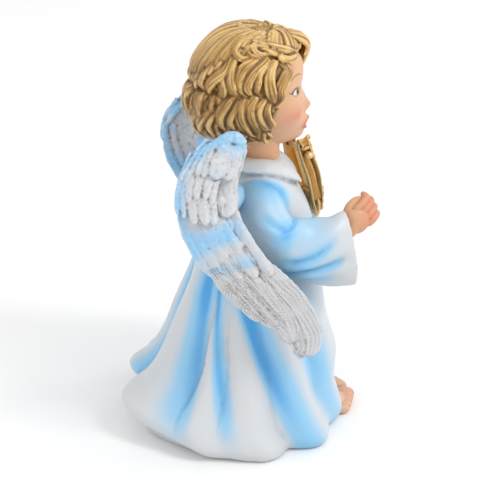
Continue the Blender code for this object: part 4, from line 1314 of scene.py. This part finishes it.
def crown_strands():
    paths = []
    for i in range(17):
        turn = 104.0 + 75.0 * (i + 0.5) / 17
        for side in (1.0, -1.0):
            width, lift = 4.0 + 0.8 * math.sin(2.3 * i + side), 1.3 * math.sin(5.1 * i + side)
            paths.append(crown_strand(side * turn, width, lift, 0.05 * math.sin(3.7 * i + side)))
    for i in range(21):
        turn = -104.0 + 208.0 * i / 20
        paths.append(crown_strand(turn, 4.2 + 0.8 * math.sin(1.7 * i), 1.3 * math.sin(4.1 * i)))
    # forelocks that curl forward over the brow
    for turn, low, reach, width in FORELOCKS:
        keys = ((0.0, turn + 18.0, 0.88, 0.2), (1.0, turn + 11.0, 0.76, 0.45 * reach),
                (2.0, turn + 3.0, 0.60, 0.95 * reach),
                (3.0, turn - 2.0, 0.58 * low + 0.25, reach), (4.0, turn - 1.0, low + 0.02, 0.7 * reach),
                (5.0, turn + 2.0, low, 0.35 * reach))

        def place(share):
            a, up, out = follow(keys, 5.0 * share)
            spot = hair_surface(a, up)
            return spot + (spot - HAIR).normalized() * out
        widths = taper(36, width, 0.6, 0.35)
        paths.append(hair_path(place, widths, [w * 0.68 for w in widths]))
    return paths


hair_paths = {"crown": crown_strands(), "locks": all_locks(), "band": band_curls()}
hair_forms = [hair_mass(), hair_cap()] + [
    carve_paths(name, paths, HAIR_FINISH, Sides=40, Strands=2.0, Strand_Depth=depth)
    for (name, paths), depth in zip(hair_paths.items(), (0.14, 0.17, 0.20))]
hair_mesh = cast("hair", hair_forms, HAIR_GRAIN, 1)
keep_path_places(hair_mesh, [path for paths in hair_paths.values() for path in paths])
spots, _ = read(hair_mesh)
# painted shadow: near black spots at the pinholes and curl centres
pit_shadow = np.zeros(len(spots))
for side in (1.0, -1.0):
    for turn, up, radius in PITS:
        spot = hair_surface(side * turn, up)
        outward = (spot - HAIR).normalized()
        centre = np.array((spot + outward * 3.0) * MM)
        away = np.linalg.norm(spots - centre, axis=1)
        beside = np.linalg.norm(np.cross(spots - centre, np.array(outward)), axis=1)
        close = np.linalg.norm(spots - np.array(spot * MM), axis=1) < 5.0 * MM
        hole = np.exp(-(np.maximum(away - 2.8 * MM, 0.0) / (radius * MM)) ** 2)
        pit_shadow = np.maximum(pit_shadow, hole * close * np.exp(-(beside / (radius * MM)) ** 4))
hollows(hair_mesh, "hollow", 4, 0.30 * MM)
hollows(hair_mesh, "wide_hollow", 36, 1.9 * MM)
keep(hair_mesh, "pit_shadow", pit_shadow)
# painted light: darker low on the head, paler towards the crown
level = (spots[:, 2] * 1000.0 - HAIR.z) / HAIR_HALF[2]
keep(hair_mesh, "darkening", 0.10 - 0.26 * np.clip(level, 0.0, 1.0))
piece("hair", hair_mesh, HAIR_FINISH, "figure")


# Hands and feet
def hand(wrist, palm, forward, inward, curl):
    """A hand with four fingers that curl inward and a thumb on top."""
    forward = forward.normalized()
    inward = (inward - forward * inward.dot(forward)).normalized()
    up = forward.cross(inward)
    if up.z < 0.0:
        up = -up
    turn = Matrix((inward, forward, up)).transposed()
    forms = [ball("palm", palm * MM, (6.0 * MM, 10.3 * MM, 9.8 * MM), turn)]

    def add(points, radii, across):
        spots, sizes = rounded_path([p * MM for p in points], [r * MM for r in radii])
        forms.append(tube("finger", spots, sizes, sizes, across, 20))

    add([wrist - forward * 4.0 + Vector((0.0, 18.0, 0.0)), wrist, palm], [6.6, 6.4, 6.2], inward)
    for i in range(4):
        knuckle = palm + forward * 6.0 + up * (7.2 - 4.9 * i) - inward * 1.0
        length = (10.5, 11.5, 10.5, 8.5)[i]
        points = []
        for j in range(7):
            a = curl * j / 6
            reach = length * (math.sin(min(a, 1.9)) if curl > 0.6 else j / 6.0)
            side = length * 0.62 * (1.0 - math.cos(a))
            points.append(knuckle + forward * reach + inward * side)
        add(points, [2.6, 2.7, 2.5, 2.6, 2.45, 2.4, 2.1], up)
    base = palm + up * 7.5 - forward * 3.0 + inward * 2.0
    add([base, base + forward * 6.0 + up * 3.2, base + forward * 11.5 + up * 2.8 + inward * 2.0,
         base + forward * 15.0 + up * 0.6 + inward * 4.0], [3.3, 3.0, 2.8, 2.3], inward)
    return forms


hand_shapes = {
    "right_hand": hand(Vector((-43.0, -89.0, 155.0)), Vector((-41.5, -98.5, 163.5)),
                       Vector((0.08, -0.78, 0.62)), Vector((1.0, 0.0, 0.0)), 2.6),
    "left_hand": hand(Vector((50.0, -79.0, 149.0)), Vector((49.0, -84.0, 150.0)),
                      Vector((-0.92, -0.30, 0.10)), Vector((0.0, 1.0, 0.0)), 1.0),
}
for name, forms in hand_shapes.items():
    mesh = cast(name, forms, HAND_GRAIN, 4)
    spots, _ = read(mesh)
    tips = np.clip((-spots[:, 1] * 1000.0 - 98.0) / 10.0, 0.0, 1.0) * 0.45
    if name == "left_hand":
        tips = np.clip((40.0 - spots[:, 0] * 1000.0) / 10.0, 0.0, 1.0) * 0.45
    plain_skin_masks(mesh, tips)
    piece(name, mesh, SKIN_FINISH, "figure")


def foot(x, ahead, turned):
    forms = [ball("foot", Vector((x, -82.0 - ahead, 7.0)) * MM, (12.5 * MM, 21.0 * MM, 7.0 * MM),
                  Matrix.Rotation(turned, 3, "Z"))]
    for i in range(5):
        share = i / 4
        toe_x = x + (-10.5 + 20.5 * share) * (1.0 if x < 0.0 else -1.0)
        size = 3.5 + 2.0 * share
        toe_y = -99.5 - ahead - 4.5 * share + 1.5 * (share - 0.5) ** 2
        forms.append(ball("toe", Vector((toe_x, toe_y + 1.0, size + 0.4)) * MM,
                          (size * 0.93 * MM, size * 1.5 * MM, size * MM)))
    return forms


for name, forms in (("right_foot", foot(-14.0, -2.5, 0.12)), ("left_foot", foot(19.0, -6.0, -0.12))):
    mesh = cast(name, forms, HAND_GRAIN, 3)
    spots, _ = read(mesh)
    plain_skin_masks(mesh, np.clip((-spots[:, 1] * 1000.0 - 94.0) / 10.0, 0.0, 1.0) * 0.4)
    piece(name, mesh, FEET_FINISH, "figure")

# Wings
# The front edge of a wing: share of its length, place from front to back, height, width behind it
WING_EDGE = (
    (0.00, -16.0, 237.0, 12.0),
    (0.08, -14.5, 224.0, 29.0),
    (0.16, -12.0, 210.0, 38.0),
    (0.25, -10.0, 195.0, 43.0),
    (0.35, -15.0, 179.0, 44.0),
    (0.44, -22.0, 166.0, 40.5),
    (0.54, -32.0, 151.0, 36.5),
    (0.65, -43.0, 136.0, 35.0),
    (0.75, -53.0, 123.0, 33.0),
    (0.85, -61.0, 106.0, 29.0),
    (0.93, -64.0, 91.0, 24.0),
    (1.00, -60.0, 76.0, 3.0),
)
LEFT_WING_TURN = math.radians(-6.0)
# How deep the narrow end of each plug sits in its socket, in metres
PLUG_SEAT = 0.013


def wing_point(along, across, proud=0.0):
    """A point of the right wing: share along its edge, distance back from it, and outward."""
    y, z, _ = follow(WING_EDGE, along)
    y2, z2, _ = follow(WING_EDGE, min(1.0, along + 0.02))
    y1, z1, _ = follow(WING_EDGE, max(0.0, along - 0.02))
    ahead = Vector((y2 - y1, z2 - z1)).normalized()
    back = Vector((-ahead.y, ahead.x))
    y, z = y + back.x * across, z + back.y * across
    out = 54.0 + 34.0 * (1.0 - math.exp(-max(0.0, 236.0 - z) / 80.0))
    _, _, width = follow(WING_EDGE, along)
    share = across / max(width, 1.0)
    camber = 5.0 * (1.0 - (2.0 * min(max(share, 0.0), 1.0) - 1.0) ** 2)
    camber -= 9.0 * bell(along - 0.22, 0.13) * (1.0 - smooth(0.0, 26.0, across))
    return Vector((-(out + camber + proud), y, z)) * MM


def wing_sheet():
    rings = []
    steps, wide = 90, 22
    for i in range(steps + 1):
        along = 0.005 + 0.965 * i / steps
        _, _, width = follow(WING_EDGE, along)
        thick = 2.6 - 1.4 * along
        ring = []
        for share in [k / wide for k in range(wide + 1)]:
            proud = 0.1 + (thick - 1.0) * math.sin(math.pi * share)
            ring.append(wing_point(along, width * (0.02 + 0.88 * share), proud))
        for share in [k / wide for k in range(wide, -1, -1)]:
            proud = -0.6 - (thick - 0.6) * math.sin(math.pi * share)
            ring.append(wing_point(along, width * (0.02 + 0.88 * share), proud))
        rings.append(ring)
    return skin("wing_sheet", rings)


def rounded_end(share, start, power):
    """1 along a feather until its end begins, then down to nothing in a round curve."""
    return math.sqrt(max(0.0, 1.0 - max(0.0, (share - start) / (1.0 - start)) ** power))


def feather(start, stop, across_start, across_stop, width, thick, proud, bow=0.0, flare=1.9):
    """The path of one feather along the wing, fullest past its middle, with a rounded point."""
    count = 34
    points = []
    for i in range(count):
        share = i / (count - 1)
        along = start + (stop - start) * share
        across = across_start + (across_stop - across_start) * share + bow * math.sin(math.pi * share)
        points.append(wing_point(along, across, proud + flare * share ** 1.8))
    path = []
    length = 0.0
    for i, spot in enumerate(points):
        share = i / (count - 1)
        ahead = (points[min(i + 1, count - 1)] - points[max(i - 1, 0)]).normalized()
        up = Vector((-1.0, 0.0, 0.0))
        up = (up - ahead * up.dot(ahead)).normalized()
        side = ahead.cross(up)
        full = (0.55 + 0.45 * smooth(0.0, 0.4, share)) * rounded_end(share, 0.72, 2.2)
        if i:
            length += (spot - points[i - 1]).length
        fat = (0.4 + 0.6 * smooth(0.0, 0.5, share)) * rounded_end(share, 0.90, 2.4)
        wide, deep = max(0.12, width / 2.0 * full) * MM, max(0.1, thick * fat) * MM
        path.append((spot, side, up, wide, deep, length))
    return path


# Clumps of short feathers: start, end, the shares of the width they cover, how proud, flare, how many
CLUMPS = (
    (0.00, 0.175, 0.12, 0.62, 3.6, 5.2, 2),
    (0.03, 0.160, 0.62, 0.84, 3.0, 3.0, 2),
    (0.03, 0.205, 0.84, 1.02, 2.4, 3.0, 2),
    (0.06, 0.240, 0.36, 0.60, 3.2, 3.8, 2),
    (0.09, 0.232, 0.60, 0.86, 2.8, 3.4, 2),
    (0.12, 0.305, 0.04, 0.36, 2.2, 6.0, 1),
    (0.14, 0.288, 0.36, 0.64, 1.6, 5.2, 2),
    (0.10, 0.285, 0.64, 0.82, 1.8, 3.4, 1),
    (0.10, 0.270, 0.82, 1.02, 1.6, 3.4, 2),
    (0.24, 0.570, 0.00, 0.24, 0.9, 3.2, 1),
    (0.26, 0.555, 0.24, 0.50, 0.4, 2.8, 1),
    (0.26, 0.515, 0.48, 0.72, 0.0, 2.6, 1),
    (0.22, 0.455, 0.70, 1.00, -0.4, 2.4, 2),
)
# Long feathers: end, where it starts and ends across the wing, width
LONG_FEATHERS = ((1.00, 9.0, 9.0, 27.0), (0.90, 20.0, 17.0, 16.0), (0.80, 26.5, 24.0, 14.0),
                 (0.70, 32.0, 29.0, 13.0), (0.62, 36.0, 32.0, 11.0))


def clumps():
    """Short feathers in uneven clumps, thick at their rounded ends."""
    paths = []
    for row, (start, stop, low, high, proud, flare, count) in enumerate(CLUMPS):
        _, _, narrow = follow(WING_EDGE, start + 0.03)
        _, _, reach = follow(WING_EDGE, stop)
        width = (high - low) * reach
        for i in range(count):
            off = (i + 0.5) / count - 0.5
            at = (low + high) / 2.0 + off * (high - low) * 0.92
            vary = math.sin(5.0 * i + 2.3 * row)
            overlap = 1.45 if count > 1 else 1.15
            paths.append(feather(
                start, stop + 0.010 * vary, narrow * at, reach * at, overlap * width / count,
                1.4 + 0.07 * width, proud - 0.8 + 0.5 * math.sin(7.0 * i + row), 0.8 * vary, flare))
    return paths


def long_feathers():
    return [feather(0.44, stop, across, across_end, width, 1.7, 0.1 + 0.35 * i, 0.0, 1.9)
            for i, (stop, across, across_end, width) in enumerate(LONG_FEATHERS)]


def crest():
    """The smooth rolled top of the wing and its front edge."""
    top = [wing_point(a, c, p) for a, c, p in (
        (0.17, 1.0, 0.0), (0.09, 1.5, 1.0), (0.03, 3.0, 1.6), (0.015, 9.0, 1.8),
        (0.045, 17.0, 1.4), (0.085, 25.0, 1.0), (0.14, 32.0, 0.4), (0.22, 38.0, 0.0))]
    spots, sizes = rounded_path(top, [0.0030, 0.0042, 0.0046, 0.0044, 0.0040, 0.0036, 0.0030, 0.0020], 60)
    return tube("crest", spots, sizes, [r * 1.15 for r in sizes], Vector((1.0, 0.0, 0.0)), 32)


def wing_root():
    start, stop = Vector((-67.0, 2.0, 193.0)) * MM, Vector((-30.0, -17.0, 183.0)) * MM
    ahead = (stop - start).normalized()
    seat = stop - ahead * PLUG_SEAT
    points = [start, start.lerp(seat, 0.45), seat, seat + ahead * PLUG_SEAT]
    spots, sizes = rounded_path(points, [0.0060, 0.0095, 0.0078, 0.0062], 30)
    return tube("wing_root", spots, sizes, [r * 1.15 for r in sizes], Vector((0.0, 1.0, 0.0)), 32)


def wing_blue(spots):
    """Where the airbrush laid blue on a wing: top, back edge, plug, under and at the end of the clumps."""
    grid = [(a / 80.0, s / 12.0) for a in range(81) for s in range(13)]
    tree = kdtree.KDTree(len(grid))
    for k, (along, share) in enumerate(grid):
        tree.insert(wing_point(along, share * follow(WING_EDGE, along)[2], 2.0), k)
    tree.balance()
    result = []
    for spot in spots:
        along, share = grid[tree.find(Vector(spot))[1]]
        blue = 0.16 + 0.62 * smooth(0.11, 0.02, along)
        blue += 0.62 * smooth(0.70, 0.98, share) * smooth(0.36, 0.28, along)
        blue += 0.62 * bell(along - 0.35, 0.045) * (0.5 + 0.5 * smooth(0.05, 0.4, share))
        blue += 0.34 * bell(along - 0.50 + 0.06 * share, 0.035) * smooth(0.02, 0.2, share)
        plug = smooth(-0.062, -0.054, spot[0])
        result.append(blue * smooth(0.62, 0.54, along) * (1.0 - plug) + 0.75 * plug)
    return np.array(result)


def wing(name):
    short, long = clumps(), long_feathers()
    forms = [wing_sheet(), wing_root(), crest(),
             carve_paths("clumps", short, WING_FINISHES[name], Sides=48, Strands=2.5, Strand_Depth=0.13),
             carve_paths("long_feathers", long, WING_FINISHES[name], Sides=48, Strand_Depth=0.0,
                         Barb_Pitch=2.8 * MM, Barb_Slope=-0.9, Barb_Depth=0.26, Shaft=0.7)]
    mesh = cast(name, forms, WING_GRAIN, 1)
    owner = keep_path_places(mesh, short + long)
    spots, edges = read(mesh)
    keep(mesh, "barbs", averaged((owner >= len(short)).astype(float), edges, len(spots), 2))
    shift = np.array([
        0.85 * noise.noise(Vector(spot) * 130.0) + 0.42 * noise.noise(Vector(spot) * 400.0)
        for spot in spots])
    drop = (236.0 - spots[:, 2] * 1000.0)
    rough_part = np.clip(1.15 - drop / 130.0, 0.25, 1.0)
    spots += normals(mesh) * (shift * rough_part * MM)[:, None]
    mesh.vertices.foreach_set("co", spots.ravel())
    mesh.update()
    keep(mesh, "blue", averaged(wing_blue(spots), edges, len(spots), 6))
    if name == "left_wing":
        mesh.transform(Matrix.Scale(-1.0, 4, Vector((1.0, 0.0, 0.0))))
        mesh.flip_normals()
        hinge = Matrix.Translation(Vector((36.0, -10.0, 0.0)) * MM)
        mesh.transform(hinge @ Matrix.Rotation(LEFT_WING_TURN, 4, "Z") @ hinge.inverted())
    hollows(mesh, "hollow", 6, 0.45 * MM)
    hollows(mesh, "wide_hollow", 30, 1.6 * MM)
    piece(name + "_piece", mesh, WING_FINISHES[name], name)


wing("right_wing")
wing("left_wing")

# Lyre
LYRE_HEIGHT, LYRE_WIDTH, LYRE_DEPTH = 0.074, 0.040, 0.0095
LYRE_FOOT = Vector((27.0, -83.0, 141.0)) * MM
LYRE_TURN = Matrix.Rotation(math.radians(17.0), 3, "Z") @ Matrix.Rotation(math.radians(-17.0), 3, "X")
# Bends of an arm: place along it, then shares of the half width and of the height
ARM_BENDS = ((0.0, 0.30, 0.12), (0.6, 0.44, 0.20), (1.2, 0.66, 0.36), (2.0, 0.84, 0.58), (3.0, 0.70, 0.76),
             (4.0, 0.68, 0.90), (4.7, 0.82, 0.97), (5.3, 0.90, 0.92), (5.8, 0.82, 0.88))
# The soundbox: share of the lyre's height, then its half width and thickness as shares
SOUNDBOX = ((0.0, 0.08, 0.25), (0.02, 0.14, 0.4), (0.06, 0.26, 0.6), (0.13, 0.46, 0.85), (0.21, 0.60, 1.0),
            (0.28, 0.56, 0.95), (0.32, 0.38, 0.75), (0.335, 0.2, 0.5))
# Places along the crossbar, as shares of its half length, and its thickness there
CROSSBAR = ((-1.0, 0.0026), (-0.9, 0.0027), (-0.8, 0.0019), (0.0, 0.0019), (0.8, 0.0019), (0.9, 0.0027),
            (1.0, 0.0026))
# Leaf buds on the front edge of each arm, and small knobs lower down: place along it, size
BUDS = ((2.5, 1.3), (2.85, 1.7), (3.2, 1.4), (3.55, 1.8), (3.9, 1.3), (1.3, 1.2), (1.0, 1.4), (4.6, 1.6))


def lyre_place(u, v, w):
    return LYRE_FOOT + LYRE_TURN @ Vector((u, w, v))


def lyre_arm(side):
    """A curved arm: a flat band with a raised rim on each edge and a groove beside the front rim."""
    half, tall, deep = LYRE_WIDTH / 2.0, LYRE_HEIGHT, LYRE_DEPTH / 2.0
    count, across = 90, 24
    spots = []
    for i in range(count):
        u, v = follow(ARM_BENDS, ARM_BENDS[-1][0] * i / (count - 1))
        spots.append(lyre_place(side * half * u, tall * v, 0.0))
    rings = []
    front = LYRE_TURN @ Vector((0.0, 1.0, 0.0))
    middle = lyre_place(0.0, tall * 0.5, 0.0)
    before = None
    for i, (spot, (depth, out)) in enumerate(zip(spots, frames(spots, front))):
        share = i / (count - 1)
        if out.dot(spot - middle if share < 0.7 else before) < 0.0:
            out = -out
        before = out
        reach = deep * (0.62 + 0.38 * smooth(0.0, 0.2, share)) * (1.0 - 0.42 * smooth(0.66, 1.0, share))
        reach *= 1.0 + 0.14 * bell(share - 0.38, 0.16)
        thick = 0.0017 * (1.0 - 0.35 * smooth(0.75, 1.0, share))
        ring = []
        for k in range(across + 1):
            w = -1.0 + 2.0 * k / across
            groove = 0.60 * bell(w + 0.42, 0.16) * smooth(0.16, 0.3, share)
            rise = thick * (0.55 + 0.75 * bell(abs(w) - 0.84, 0.13) - groove)
            ring.append(spot + depth * reach * w + out * rise)
        for k in range(across, -1, -1):
            w = -1.0 + 2.0 * k / across
            ring.append(spot + depth * reach * w - out * thick * (1.15 - 0.75 * (1.0 - w * w)))
        rings.append(ring)
    return skin("lyre_arm", rings)


def lyre():
    half, tall, deep = LYRE_WIDTH / 2.0, LYRE_HEIGHT, LYRE_DEPTH / 2.0
    rings = []
    top = SOUNDBOX[-1][0]
    for i in range(40):
        v = top * i / 39
        wide, thin = follow(SOUNDBOX, v)
        ring = []
        for k in range(72):
            a = 2.0 * math.pi * k / 72
            flute = 1.0 + 0.03 * math.cos(10.0 * a)
            across, ahead = half * wide * math.cos(a) * flute, deep * thin * math.sin(a) * flute
            ring.append(lyre_place(across, tall * v, ahead))
        rings.append(ring)
    forms = [skin("soundbox", rings), lyre_arm(-1.0), lyre_arm(1.0)]
    side_of = LYRE_TURN @ Vector((0.0, 1.0, 0.0))
    beads = []
    for side in (-1.0, 1.0):
        for at, size in BUDS:
            size *= MM
            u, v = follow(ARM_BENDS, at)
            beads.append(ball("bud", lyre_place(side * half * (u + 0.03), tall * v, -deep * 0.98),
                              (size * 0.8, size, size * 1.4), None, 12, 10))
        u, v = ARM_BENDS[-1][1:]
        scroll = lyre_place(side * half * u, tall * v, 0.0)
        beads.append(ball("scroll", scroll, (0.0024, 0.0034, 0.0024), LYRE_TURN, 20, 14))
    bar = [lyre_place(half * 0.98 * across, tall * 0.80, 0.0) for across, _ in CROSSBAR]
    bar, sizes = rounded_path(bar, [thick for _, thick in CROSSBAR], 60)
    forms.append(tube("crossbar", bar, sizes, sizes, Vector((0.0, 0.0, 1.0)), 24))
    strings = []
    for i in range(5):
        u = half * (-0.30 + 0.15 * i)
        ends = [lyre_place(u, tall * (0.24 + 0.56 * s / 20), 0.0) for s in range(21)]
        strings.append([(p, Vector((1.0, 0.0, 0.0)), side_of, 0.0007, 0.0007, 0.0) for p in ends])
    forms.append(carve_paths("strings", strings, GOLD_FINISH, Sides=10, Strand_Depth=0.0))
    mesh = cast("lyre_casting", forms + beads, LYRE_GRAIN, 2)
    spots, _ = read(mesh)
    local = (spots - np.array(LYRE_FOOT)) @ np.array(LYRE_TURN)
    u, v = local[:, 0] / half, local[:, 2] / tall
    # painted shade and warm reflection: the inner faces of the arms, which turn toward each other
    inward = -np.sign(u) * (normals(mesh) @ np.array(LYRE_TURN))[:, 0]
    on_arm = np.clip((v - 0.30) * 8.0, 0.0, 1.0) * np.clip((0.86 - v) * 8.0, 0.0, 1.0)
    keep(mesh, "inner_shade_and_reflection", np.clip(inward * 1.5, 0.0, 1.0) * on_arm)
    hollows(mesh, "hollow", 8, 0.24 * MM)
    piece("lyre_casting", mesh, GOLD_FINISH, "lyre")


lyre()


# Floor, light and camera
def floor():
    mesh = bpy.data.meshes.new("floor")
    far = 3.0
    corners = [(-far, -far, 0.0), (far, -far, 0.0), (far, far, 0.0), (-far, far, 0.0)]
    mesh.from_pydata(corners, [], [(0, 1, 2, 3)])
    made = in_scene("floor", mesh)
    finish = bpy.data.materials.new("pale_floor")
    finish.use_nodes = True
    shader = finish.node_tree.nodes["Principled BSDF"]
    shader.inputs["Base Color"].default_value = (0.88, 0.88, 0.88, 1.0)
    shader.inputs["Roughness"].default_value = 0.75
    shader.inputs["Specular IOR Level"].default_value = 0.1
    mesh.materials.append(finish)


def light(name, place, target, size, power):
    data = bpy.data.lights.new(name, "AREA")
    data.shape = "DISK"
    data.size = size
    data.energy = power
    made = in_scene(name, data)
    made.location = place
    made.rotation_euler = (Vector(target) - Vector(place)).to_track_quat("-Z", "Y").to_euler()


floor()
# Soft round lights: name, place, diameter, power
LIGHTS = (("key", (-1.1, -1.3, 1.9), 0.8, 19.0), ("fill", (-1.2, 1.6, 1.1), 1.4, 3.5),
          ("front", (0.6, -1.8, 0.9), 1.2, 5.0))
for name, place, size, power in LIGHTS:
    light(name, place, (0.0, -0.03, 0.13), size, power)
world = bpy.data.worlds.new("studio")
bpy.context.scene.world = world
world.use_nodes = True
world.node_tree.nodes["Background"].inputs["Color"].default_value = (1.0, 1.0, 1.0, 1.0)
world.node_tree.nodes["Background"].inputs["Strength"].default_value = 0.98
bpy.context.scene.view_settings.view_transform = "Standard"

# The camera stands where the photo was taken from
SENSOR, FOCAL_PIXELS, PICTURE_PIXELS = 36.0, 1706.0, 500.0
azimuth, elevation, distance = math.radians(262.0), math.radians(23.0), 1.250
target = Vector((0.0, -0.0285, 0.1275))
level = math.cos(elevation)
back = Vector((math.sin(azimuth) * level, -math.cos(azimuth) * level, math.sin(elevation)))
camera_data = bpy.data.cameras.new("camera")
camera_data.lens = SENSOR * FOCAL_PIXELS / PICTURE_PIXELS
camera_data.sensor_width = SENSOR
camera = in_scene("camera", camera_data)
camera.location = target + back * distance
camera.rotation_euler = (-back).to_track_quat("-Z", "Y").to_euler()
bpy.context.scene.camera = camera
